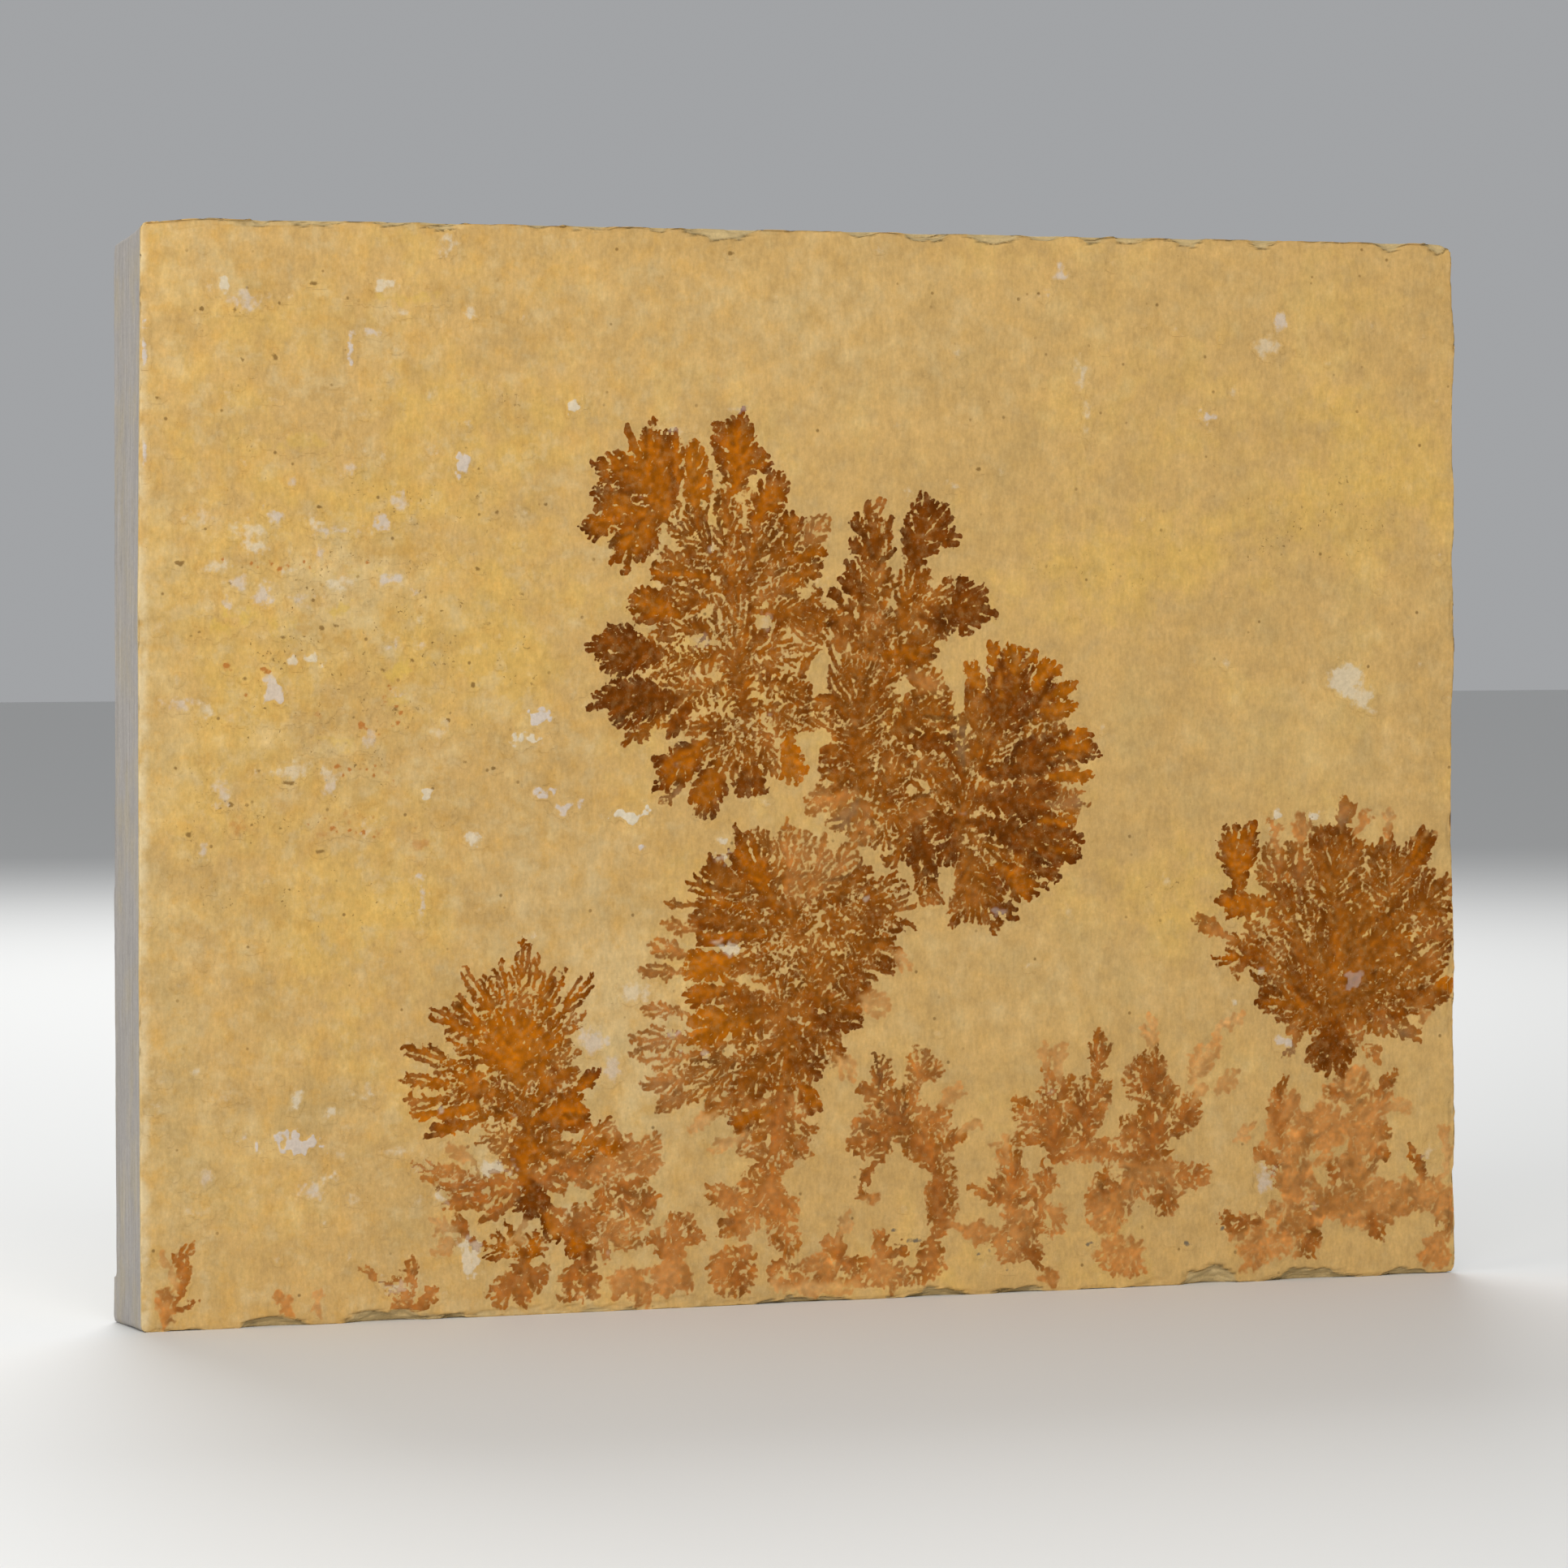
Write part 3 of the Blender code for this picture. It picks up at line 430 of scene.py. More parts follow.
STEM_THICKETS = (
    ((-22, 40), (-20, 44), (-2, 44), (0, 41), (-5, 39), (-2, 36), (-6, 34), (-4, 31), (-10, 30), (-8, 23),
     (-5, 22), (-6, 17), (-5, 10), (-9, 9), (-12, 13), (-14, 16), (-18, 14), (-24, 15), (-22, 19),
     (-27, 24), (-22, 22), (-20, 26), (-16, 24), (-14, 30), (-20, 32), (-20, 36)),
)  # fmt: skip
LEFT_THICKETS = (
    ((-64, 38), (-60, 40), (-47, 40), (-45, 35), (-36, 34), (-40, 27), (-46, 24), (-37, 24), (-40, 17),
     (-45, 14), (-53, 9), (-59, 14), (-60, 20), (-52, 22), (-50, 25), (-56, 26), (-62, 30)),
    ((-60, 8), (-54, 10), (-50, 6), (-52, 2), (-59, 3)),
)  # fmt: skip

# name: fans, places the twigs keep out of, and outlines that finer twigs fill, with their kind
COLONIES = {
    "dendrite_upper": (UPPER, UPPER_HOLES, {UPPER_BODY: "open"}),
    "dendrite_middle": (MIDDLE, MIDDLE_HOLES, {MIDDLE_BODY: "vein"}),
    "dendrite_right": (RIGHT, RIGHT_HOLES, {RIGHT_BODY: "thick"}),
    "dendrite_lower": (LOWER, LOWER_HOLES, {LOWER_BODY: "thick", **dict.fromkeys(STEM_THICKETS, "scrub")}),
    "dendrite_left": (LEFT, LEFT_HOLES, {LEFT_BODY: "vein", **dict.fromkeys(LEFT_THICKETS, "scrub")}),
    "dendrite_far_right": (FAR_RIGHT, FAR_RIGHT_HOLES, {FAR_RIGHT_BODY: "thick"}),
    "dendrites_foot": (BOTTOM, BOTTOM_HOLES, dict.fromkeys(FOOT_THICKETS, "scrub")),
    "dendrites_corner": (CORNER, CORNER_HOLES, dict.fromkeys(CORNER_THICKETS, "salmon")),
}

CHALK = (220, 208, 184)
LILAC = (208, 198, 190)
YOLK = (214, 178, 86)
OCHRE = (194, 150, 76)
IRON = (182, 112, 48)
PIT = (132, 100, 52)
BLOOM = (186, 138, 92)
SLATE = (98, 92, 82)

# Pale flakes on the face: x, z, radius along x and z, strength. Strong ones are crisp and stand out.
FLAKES = (
    (-44, 104, 3.0, 1.4, 0.9), (-41.5, 97.5, 1.0, 0.7, 0.9), (-64, 124, 1.8, 1.8, 0.8),
    (-67, 120, 2.2, 0.9, 0.8), (-126, 163, 3.8, 2.6, 0.5), (-121, 166, 2.4, 1.8, 0.6),
    (-113, 165, 1.4, 1.2, 0.6), (-106, 163, 4, 0.8, 0.6), (-98, 165, 1.6, 1.6, 0.65),
    (-94, 169, 2.4, 1.6, 0.55), (-134, 156, 3, 1.2, 0.55), (-137, 166, 3, 1, 0.4),
    (-118, 173, 0.9, 0.7, 0.6), (-105, 176, 2.2, 0.9, 0.5), (-81, 177, 1.4, 2, 0.75),
    (-105, 200, 0.5, 1.8, 0.8), (-101, 204, 2.2, 0.8, 0.65), (-98, 213, 3.2, 1.4, 0.65),
    (-94, 208, 1.4, 0.7, 0.6), (-132, 213, 1.2, 1.2, 0.7), (-127, 210, 3, 2.2, 0.5),
    (-84, 222, 1.8, 1.6, 0.6), (-79, 208, 1.2, 1, 0.6), (-56, 189, 1.6, 1.4, 0.8), (-126, 160, 3, 2, 0.6),
    (-129, 153, 1.2, 1.4, 0.55), (-124, 150, 2.4, 2.4, 0.6), (-118, 155, 1.6, 0.8, 0.65),
    (-112, 158, 0.8, 1.2, 0.6), (-131, 148, 1, 1.6, 0.5), (-116, 149, 3.5, 1.6, 0.5),
    (-108, 152, 3, 1.4, 0.5), (-96, 153, 2.2, 1, 0.65), (-92, 151, 1.4, 0.8, 0.6),
    (-114, 136.5, 3.2, 1.1, 0.7), (-122, 130, 2, 2.2, 0.7), (-141, 128, 2.4, 1.4, 0.5),
    (-137, 127, 2, 1.6, 0.5), (-95, 130, 2.2, 1.2, 0.5), (-97, 139, 2.2, 1.4, 0.5),
    (-90, 140, 1.4, 1, 0.5), (-133, 110, 1.4, 3, 0.5), (-119, 114, 4, 1.2, 0.5),
    (-110, 110, 1.6, 1.6, 0.5), (-102, 103, 2.4, 1.6, 0.5), (-137, 98, 0.8, 1.8, 0.5),
    (-89, 109.5, 1.2, 1.3, 0.75), (-86, 122, 1.6, 2, 0.4), (-149, 201, 0.5, 3, 0.8),
    (-149, 178, 0.4, 2, 0.8), (-90, 88, 0.9, 3.6, 0.65), (-117, 37.5, 5.4, 1.9, 0.8),
    (-109, 31, 1.8, 1.1, 0.65), (-115, 27.5, 2.2, 1.6, 0.6), (-128, 39, 1, 0.8, 0.65),
    (-132, 47, 2, 0.8, 0.45), (-136, 31, 1.3, 1.2, 0.4), (-94, 35, 3, 0.8, 0.45),
    (-138, 24, 2.4, 1, 0.35), (124, 131, 4.4, 3.6, 0.6), (128, 127, 2.4, 2.8, 0.55),
    (90, 188, 1.8, 1.6, 0.65), (55, 218, 1.6, 1.6, 0.6), (52, 214, 1.2, 1, 0.6),
    (107, 209, 1.6, 1.8, 0.6), (104, 204, 2.6, 2.6, 0.5), (60, 197, 1.4, 2.4, 0.5), (61, 188, 1, 3, 0.5),
    (-79, 99, 1.6, 1.2, 0.7), (-63, 109, 2, 1.2, 0.75), (-58, 106, 2.4, 1.2, 0.7),
    (-110, 113, 1.4, 1.8, 0.5), (-102, 48, 1, 1.8, 0.6), (-117, 46.5, 0.9, 1.7, 0.65),
    (-110, 43, 1.2, 1.3, 0.65), (-74, 31, 3, 1.4, 0.65), (-80, 13, 2.6, 3.4, 0.68),
    (-97, 7, 2.4, 1.6, 0.6), (-86, 25, 1.6, 1.2, 0.65), (-52, 57, 3.4, 3, 0.5), (-48, 52, 2, 2.6, 0.45),
    (-33, 58, 1.6, 1.2, 0.6), (-22, 95, 1.7, 1.3, 0.7), (-23, 98, 1, 0.7, 0.7), (-21, 75, 2.4, 1.2, 0.7),
    (-25, 77, 1.4, 0.7, 0.6), (-43, 67, 3.4, 2.4, 0.5), (116, 101.5, 1.4, 1, 0.7),
    (107, 101.5, 1, 1, 0.7), (109.5, 52, 2.4, 1.8, 0.65), (97, 61, 0.9, 0.7, 0.7), (104, 23, 2.2, 3, 0.5),
    (144, 27, 2, 2.4, 0.4), (126, 65, 2.2, 1.6, 0.4), (-101, 120, 1.8, 2, 0.4), (-104, 26, 2.2, 1.6, 0.4),
    (-34, 184.5, 2.4, 0.8, 0.5), (-19, 189, 1.6, 1, 0.4), (-14, 145, 1.2, 2.6, 0.25),
    (-28, 140, 2.4, 1.4, 0.25), (40, 82, 1.6, 0.8, 0.4),
)  # fmt: skip
# Small flakes: their number, largest radius in mm, where along X they become rare, and the share kept of
# those that fall on the left and on the right of it.
SMALL_FLAKES = 240
SMALL_FLAKE_MOST = 0.9
SMALL_FLAKES_LEFT_OF = -60
SMALL_FLAKE_SHARES = (0.9, 0.3)
SPECK_STRENGTH = 0.85

# Stains and specks, which are colour only: x, z, radius along x and z, strength, colour.
STAINS = (
    (-128, 146, 4, 1.6, 0.6, YOLK), (-134, 143.5, 3, 1.4, 0.5, YOLK), (-107, 147, 3.6, 2, 0.6, YOLK),
    (-112, 154, 3, 1, 0.5, YOLK), (-103, 155, 3, 1, 0.5, YOLK), (-95, 134, 2.4, 3, 0.6, YOLK),
    (-93, 128, 3.2, 1.4, 0.55, YOLK), (-119, 144, 3, 1.6, 0.45, YOLK), (-108, 120, 5, 1.6, 0.4, YOLK),
    (-95, 211, 7, 1.6, 0.4, YOLK), (-115, 181, 6, 2, 0.35, YOLK), (-115, 143, 2.2, 2.6, 0.5, OCHRE),
    (-109, 140.5, 3, 1.8, 0.5, OCHRE), (-106, 134.5, 2.4, 2, 0.5, OCHRE), (-110, 128, 7, 2, 0.4, OCHRE),
    (-121, 125, 3, 1.6, 0.45, OCHRE), (-96, 159, 9, 2.2, 0.5, OCHRE), (-86, 105, 3, 2.4, 0.45, OCHRE),
    (-129, 103, 1.6, 1.4, 0.45, IRON), (-112, 125.5, 1.2, 0.6, 0.6, IRON),
    (-97, 113.5, 2, 0.9, 0.5, IRON), (-99, 101, 1.1, 0.9, 0.6, IRON), (-112, 101, 1.3, 1, 0.45, IRON),
    (-104, 104, 3, 1.4, 0.35, IRON), (-90, 98, 2.2, 1.4, 0.45, IRON), (-135, 114, 1, 1.4, 0.35, IRON),
)  # fmt: skip
SPECKS = (
    (-142, 156.5, 0.7, PIT), (-128.3, 155.6, 0.5, PIT), (-116.8, 152, 0.45, PIT), (-110, 152.5, 0.5, PIT),
    (-105, 155, 0.4, PIT), (-130.3, 152.5, 0.6, PIT), (-139.3, 141.7, 0.5, PIT),
    (-137.6, 142.5, 0.4, PIT), (-121, 143.3, 0.45, PIT), (-119.8, 141.4, 0.4, PIT),
    (-116, 143.8, 0.7, PIT), (-108.7, 143.7, 0.4, PIT), (-111, 141, 0.6, PIT), (-91.6, 136.4, 0.5, PIT),
    (-105.6, 135.4, 0.6, PIT), (-98, 134.6, 0.4, PIT), (-97.4, 133, 0.45, PIT), (-98.6, 131.6, 0.4, PIT),
    (-98.4, 127.2, 0.4, PIT), (-128, 133, 0.6, PIT), (-131, 131.4, 0.4, PIT), (-104.6, 124.8, 0.5, PIT),
    (-103.2, 122, 0.4, PIT), (-99.8, 122, 0.45, PIT), (-142.6, 114.8, 0.5, PIT), (-119, 111.6, 0.8, PIT),
    (-97, 113.4, 0.5, IRON), (-86.6, 104.9, 1, PIT), (-139.8, 101.4, 0.6, PIT), (-120.7, 102.2, 0.4, PIT),
    (-112, 97.4, 0.5, PIT), (-99, 101, 0.5, IRON), (-146, 190, 0.6, PIT), (-142.5, 178.6, 0.45, PIT),
    (-112, 168, 0.5, PIT), (-109, 193, 0.5, PIT), (-112.6, 213.6, 0.6, PIT), (-129, 192.6, 0.5, PIT),
    (-62.4, 168.6, 0.5, PIT), (-75, 144, 0.5, PIT), (-72.6, 135.4, 0.45, PIT), (-74, 114, 0.5, PIT),
    (21, 12, 0.9, SLATE), (20, 11.2, 0.6, SLATE), (36, 8.6, 0.6, SLATE), (38, 9.4, 0.8, SLATE),
    (42, 11, 0.9, SLATE), (40.6, 10.8, 0.5, SLATE), (51.5, 11.3, 0.6, SLATE), (61, 9.7, 0.8, SLATE),
    (62.4, 10, 0.5, SLATE), (60, 8.4, 0.5, SLATE), (16, 14.5, 0.6, SLATE), (85, 9, 0.8, SLATE),
    (82, 9.2, 0.6, SLATE), (86, 20.3, 0.6, SLATE), (42.3, 4.8, 0.6, SLATE), (94, 12, 0.8, SLATE),
)  # fmt: skip

# Areas speckled with fine grains: x, z, reach along x and z, number of grains, colour.
SPECKLED = (
    (-118, 156, 13, 1.6, 20, IRON), (-96, 127, 5, 8, 20, IRON), (-104, 123, 6, 3, 10, IRON),
    (-101, 114, 9, 2, 12, IRON), (-105, 103, 17, 3, 26, IRON), (-123, 136, 8, 5, 8, IRON),
    (-113, 142, 5, 2.5, 10, PIT), (-80, 122, 14, 10, 8, PIT), (-128, 108, 9, 6, 7, PIT),
    (-74, 165, 14, 16, 7, PIT), (-130, 200, 14, 14, 6, PIT), (20, 190, 60, 20, 8, PIT),
)  # fmt: skip

# Broad patches of tone: x, z, radius along x and z, amount of gold, pale and dull.
TONES = (
    (-104, 142, 40, 18, 1.0, 0, 0), (-122, 110, 34, 16, 0.7, 0, 0), (-92, 174, 26, 12, 0.7, 0, 0),
    (-112, 84, 36, 12, 0.6, 0, 0), (-70, 132, 12, 30, 0.4, 0, 0), (-120, 206, 20, 8, 0.5, 0.2, 0),
    (-66, 92, 16, 22, 0, 0.6, 0), (-104, 146, 26, 10, 0, 0.5, 0), (-147, 120, 7, 110, 0, 0.4, 0.5),
    (-120, 118, 34, 10, 0.2, 0.5, 0), (-120, 86, 30, 10, 0.2, 0.3, 0), (-88, 60, 26, 12, 0.3, 0, 0),
    (70, 158, 60, 14, 0.6, 0, 0), (120, 170, 30, 24, 0.5, 0, 0), (70, 190, 30, 12, 0.4, 0, 0),
    (-40, 192, 40, 8, 0.3, 0, 0), (80, 88, 30, 14, 0.6, 0, 0), (-130, 178, 14, 14, 0.5, 0, 0),
    (-70, 190, 14, 10, 0.4, 0, 0), (128, 205, 20, 10, 0.4, 0, 0), (-10, 210, 50, 16, 0, 0.4, 0),
    (30, 190, 46, 10, 0, 0.3, 0), (-60, 20, 46, 22, 0, 0.3, 0.4), (-44, 50, 14, 36, 0, 0.4, 0.3),
    (-125, 40, 26, 22, 0, 0.3, 0.3), (95, 120, 40, 20, 0, 0.2, 0.4), (60, 66, 40, 14, 0, 0.3, 0.2),
    (90, 212, 60, 12, 0, 0.2, 0.2), (130, 130, 24, 50, 0, 0.2, 0.2), (-134, 215, 16, 10, 0, 0.4, 0),
    (-140, 60, 12, 60, 0, 0.2, 0.2), (-108, 150, 22, 6, 0, 0.5, 0), (95, 32, 8, 20, 0, 0.4, 0),
    (0, 60, 60, 30, 0, 0.2, 0.1), (-46, 62, 10, 14, 0, 0.6, 0),
)  # fmt: skip

# Growth: a twig's step in mm, how dear a turn is in the first and in the second round, how much of its last
# heading a twig keeps, and how far a stem (in mm) and a twig (as a share of a step) wander.
STEP = 0.42
TURN_COSTS = (1.2, 0.3)
HEADING_KEPT = 0.3
STEM_WANDER = 0.05
TWIG_WANDER = 0.14
# In shares of the spacing: gaps between the places that a fan and a body grow to, gaps that these keep from
# the twigs already there, and how near a twig comes to such a place before it is reached.
FAN_SPREAD = 0.78
BODY_SPREAD = 0.80
FAN_APART = 0.75
BODY_APART = 0.72
REACHED = 0.6
# How many places are tried for each square of one spacing.
TRIES = 6
# Share of a fan's half width at its base, shares of its length where it is full and where it rounds off, and
# the share of its length that its stem takes.
FAN_BASE = 0.36
FAN_FULL = 0.55
FAN_ROUND = 0.6
STEM_SHARE = 0.45
# How far the twigs of a body count as being on the way to a rim.
BODY_RIM = 0.4
# Share of a hole's area that twigs keep out of, and the unevenness of its outline in mm.
HOLE_SHARE = 0.6
HOLE_UNEVEN = 0.9
# A fan starts from its colony's nearest twig within this reach, in mm, and from its own base otherwise.
ROOT_REACH = 4.0
# Most pairs of places that are measured in one go, which keeps the memory small.
PAIRS_AT_ONCE = 1500000

# Drawing, all in mm: pitch of the grid over the face, how far beyond its edge a stroke is drawn and a film's
# mesh reaches, how far the film lies in front of the stone, the deepest chip that it still shows in, how far
# its worn spots eat into it, and the distances over which a tip differs and a new twig parts.
FIELD_PITCH = 0.27
STROKE_REACH = 1.3
FIELD_MARGIN = 0.55
FILM_LIFT = 0.04
FILM_DEEPEST = 0.5
WEAR_DEPTH = 1.1
TIP_REACH = 1.4
PARTING = 1.6
# Little side barbs: shortest and longest, half width, and the share of nodes that has one.
BARB = (0.1, 0.5)
BARB_RADIUS = 0.2
BARB_SHARE = 0.45
SOLID_BARB_SHARE = 0.3

# Flakes, in mm: how far beyond their edge their mesh reaches, how far from a film's edge they stop, and the
# radius up to which larger flakes have a more ragged outline. Then the strengths from soft to crisp, and how
# much of a flake's colour lies as dust over a film.
FLAKE_MARGIN = 0.7
FLAKE_OFF_FILM = 0.05
FLAKE_RAGGED = 1.5
CRISP_FROM = 0.55
CRISP_AT = 0.9
DUST = 0.75


def linear(colour):
    """A 0 to 255 sRGB colour in linear light, from 0 to 1."""
    share = np.asarray(colour, float) / 255
    return np.where(share <= 0.04045, share / 12.92, ((share + 0.055) / 1.055) ** 2.4)


def smooth(value, low, high):
    """0 below low, 1 above high and a smooth rise between."""
    share = np.clip((value - low) / (high - low), 0, 1)
    return share * share * (3 - 2 * share)


def soft_noise(points, size, seed):
    """Smooth noise from -1 to 1 at points in two or three dimensions, with patches of about that size."""
    points = np.asarray(points, float)
    if points.shape[1] == 2:
        points = np.column_stack([points, np.zeros(len(points))])
    side = 32
    table = np.random.default_rng(seed).uniform(-1, 1, (side, side, side))
    cell = points / size
    low = np.floor(cell).astype(int)
    share = cell - low
    share = share * share * (3 - 2 * share)
    total = np.zeros(len(points))
    for corner in range(8):
        step = np.array([corner & 1, corner >> 1 & 1, corner >> 2])
        weight = np.prod(np.where(step, share, 1 - share), axis=1)
        i, j, k = ((low + step) % side).T
        total += weight * table[i, j, k]
    return total


def rough(points, *layers):
    """The sum of smooth noises, each given by its height, the size of its patches and its seed."""
    return sum(height * soft_noise(points, size, SEED + seed) for height, size, seed in layers)


def thinned(points, gap):
    """The points, leaving out each that is nearer than gap to one kept before it."""
    cells = {}
    kept = []
    for point in points:
        column, row = int(point[0] // gap), int(point[1] // gap)
        around = [(column + i, row + j) for i in (-1, 0, 1) for j in (-1, 0, 1)]
        near = (other for cell in around for other in cells.get(cell, ()))
        if all((point[0] - other[0]) ** 2 + (point[1] - other[1]) ** 2 >= gap * gap for other in near):
            cells.setdefault((column, row), []).append(point)
            kept.append(point)
    return np.array(kept).reshape(-1, 2)


def within(points, outline):
    """True for each point inside the closed outline."""
    inside = np.zeros(len(points), bool)
    x, z = points.T
    for (ax, az), (bx, bz) in zip(outline, outline[1:] + outline[:1]):
        spans = (az > z) != (bz > z)
        inside ^= spans & (x < (bx - ax) * (z - az) / (bz - az + 1e-12) + ax)
    return inside


def clear_of(points, holes):
    """The points that are outside all the holes, whose outlines are uneven."""
    for x, z, radius_x, radius_z in holes:
        across = points[:, 0] - x + rough(points, (HOLE_UNEVEN, 1.9, 70))
        up = points[:, 1] - z + rough(points, (HOLE_UNEVEN, 1.9, 71))
        points = points[(across / radius_x) ** 2 + (up / radius_z) ** 2 > HOLE_SHARE]
    return points


def between(targets, nodes):
    """Offsets along x and z and distance from each node, in columns, to each target, in rows."""
    across = targets[:, None, 0] - nodes[None, :, 0]
    up = targets[:, None, 1] - nodes[None, :, 1]
    return across, up, np.sqrt(across * across + up * up) + 1e-9


def unit(vectors):
    return vectors / (np.hypot(*vectors.T)[:, None] + 1e-9)


def in_parts(rows, others):
    """The rows in parts that are small enough to be measured against all the others."""
    return np.array_split(rows, max(1, len(rows) * len(others) // PAIRS_AT_ONCE))


class Fan:
    """A leaf-shaped part of a colony that twigs fill from its base."""

    def __init__(self, row):
        base_x, base_z, tip_x, tip_z, self.half, self.kind = row
        self.base = np.array([base_x, base_z], float)
        axis = np.array([tip_x, tip_z], float) - self.base
        self.length = float(np.hypot(*axis))
        self.axis = axis / self.length
        self.side = np.array([-self.axis[1], self.axis[0]])

    def width(self, share):
        """Half width at that share of the fan's length."""
        grown = FAN_BASE + (1 - FAN_BASE) * smooth(share, 0, FAN_FULL)
        fall = np.sqrt(np.clip(1 - (np.clip(share - FAN_ROUND, 0, None) / (1 - FAN_ROUND)) ** 2, 0, 1))
        return self.half * grown * fall

    def rimness(self, points):
        """0 along the middle of the fan and 1 at its outline."""
        away = points - self.base
        share = away @ self.axis / self.length
        aside = np.abs(away @ self.side) / np.maximum(self.width(share), 1e-6)
        return np.clip(np.maximum(aside, (share - FAN_ROUND) / (1 - FAN_ROUND)), 0, 1.3)

    def seeds(self, spacing, rng):
        """Places for twigs to grow to, inside the fan's lobed outline."""
        count = int(TRIES * self.length * 2 * self.half / spacing**2) + 2 * TRIES
        share = rng.uniform(0, 1.12, count)
        aside = rng.uniform(-1.15, 1.15, count) * self.half
        points = self.base + np.outer(share * self.length, self.axis) + np.outer(aside, self.side)
        lobes = rough(points, (0.15, 2.8, 1), (0.09, 1.2, 27))
        lobes = np.clip(1 + KINDS[self.kind].lobed * lobes, 0.6, 1.5)
        keep = np.abs(aside) < self.width(share / lobes) * lobes
        return thinned(points[keep], FAN_SPREAD * spacing)

    def outward(self, points):
        """The ways from a point a little behind the fan's base."""
        return unit(points - (self.base - 0.12 * self.length * self.axis))


class Net:
    """Nodes of all the dendrites, each with the node it grew from, its kind, its colony and how near it is to
    the rim of its fan."""

    def __init__(self, rng):
        self.rng = rng
        self.places = []
        self.parents = []
        self.kinds = []
        self.rims = []
        self.colonies = []
        self.colony = 0

    def add(self, place, parent, kind, rim=0.0):
        self.places.append(place)
        self.parents.append(parent)
        self.kinds.append(kind)
        self.rims.append(rim)
        self.colonies.append(self.colony)
        return len(self.places) - 1

    def stretch(self, start, goal, kind):
        """Adds nodes from node start to the goal and returns their numbers."""
        here = np.array(self.places[start])
        made = [start]
        while np.hypot(*(goal - here)) > STEP:
            way = goal - here
            here = here + STEP * way / np.hypot(*way) + self.rng.normal(0, STEM_WANDER, 2)
            made.append(self.add(here, made[-1], kind))
        return made[1:]

    def costs(self, targets, nodes, outward, turn_cost):
        """Distance from the nodes to the targets, and the same made dearer by a turn from the heading."""
        here = np.array([self.places[node] for node in nodes])
        before = np.array([self.places[max(self.parents[node], 0)] for node in nodes])
        heading = unit(unit(here - before) + outward(here))
        across, up, far = between(targets, here)
        ahead = (across * heading[:, 0] + up * heading[:, 1]) / far
        return far, far * (1 + turn_cost * (1 - ahead))

    def fill(self, nodes, targets, kind, rim_of, outward):
        """Twigs grow from the nodes towards the targets: first the straight way, then to those left over."""
        nodes = list(nodes)
        for turn_cost in TURN_COSTS:
            self.reach_out(nodes, targets, kind, rim_of, outward, turn_cost)

    def reach_out(self, nodes, targets, kind, rim_of, outward, turn_cost):
        """Grows the nodes, and adds to them, until each target is reached or none comes nearer."""
        best = np.zeros(len(targets), int)
        cheapest = np.full(len(targets), 1e9)
        nearest = np.full(len(targets), 1e9)
        for part in in_parts(np.arange(len(targets)), nodes):
            far, cost = self.costs(targets[part], nodes, outward, turn_cost)
            best[part] = cost.argmin(1)
            cheapest[part] = cost.min(1)
            nearest[part] = far.min(1)
        reach = REACHED * KINDS[kind].spacing
        while True:
            live = np.flatnonzero(nearest > reach)
            if not len(live):
                return
            pulls = {}
            for target in live:
                way = targets[target] - self.places[nodes[best[target]]]
                pulls.setdefault(int(best[target]), []).append(way / (np.hypot(*way) + 1e-9))
            first = len(nodes)
            for local, ways in pulls.items():
                way = np.sum(ways, axis=0)
                size = np.hypot(*way)
                way = ways[0] if size < 0.15 else way / size
                node = nodes[local]
                here = self.places[node]
                lead = here - self.places[max(self.parents[node], 0)]
                way = way + HEADING_KEPT * lead / (np.hypot(*lead) + 1e-9)
                way = way + self.rng.normal(0, TWIG_WANDER, 2)
                nodes.append(self.add(here + STEP * way / np.hypot(*way), node, kind))
            fresh = nodes[first:]
            for node, rim in zip(fresh, rim_of(np.array([self.places[node] for node in fresh]))):
                self.rims[node] = rim
            far, cost = self.costs(targets[live], fresh, outward, turn_cost)
            nearest[live] = np.minimum(nearest[live], far.min(1))
            better = cost.min(1) < cheapest[live]
            if not better.any():
                return
            cheapest[live[better]] = cost.min(1)[better]
            best[live[better]] = first + cost.argmin(1)[better]

    def apart(self, targets, gap):
        """The targets that are at least that far from every node."""
        if not self.places or not len(targets):
            return targets
        existing = np.array(self.places)
        near = (existing > targets.min(0) - gap).all(1) & (existing < targets.max(0) + gap).all(1)
        existing = existing[near]
        if not len(existing):
            return targets
        parts = in_parts(targets, existing)
        return np.vstack([part[between(part, existing)[2].min(1) > gap] for part in parts])

    def own_nodes(self):
        return np.flatnonzero(np.array(self.colonies, int) == self.colony)

    def grow_fan(self, fan, holes):
        """Fills the fan with twigs from a stem along its axis, which joins the colony where it is near."""
        spacing = KINDS[fan.kind].spacing
        targets = self.apart(clear_of(fan.seeds(spacing, self.rng), holes), FAN_APART * spacing)
        nodes = self.own_nodes()
        near = [math.dist(self.places[node], fan.base) for node in nodes]
        if near and min(near) < ROOT_REACH:
            start = nodes[int(np.argmin(near))]
            own = self.stretch(start, fan.base, fan.kind)
            start = own[-1] if own else start
        else:
            start = self.add(fan.base, -1, fan.kind)
            own = [start]
        goal = fan.base + fan.axis * fan.length * STEM_SHARE + fan.side * self.rng.uniform(-0.4, 0.4)
        own += self.stretch(start, goal, fan.kind)
        if len(targets) and own:
            self.fill(own, targets, fan.kind, fan.rimness, fan.outward)

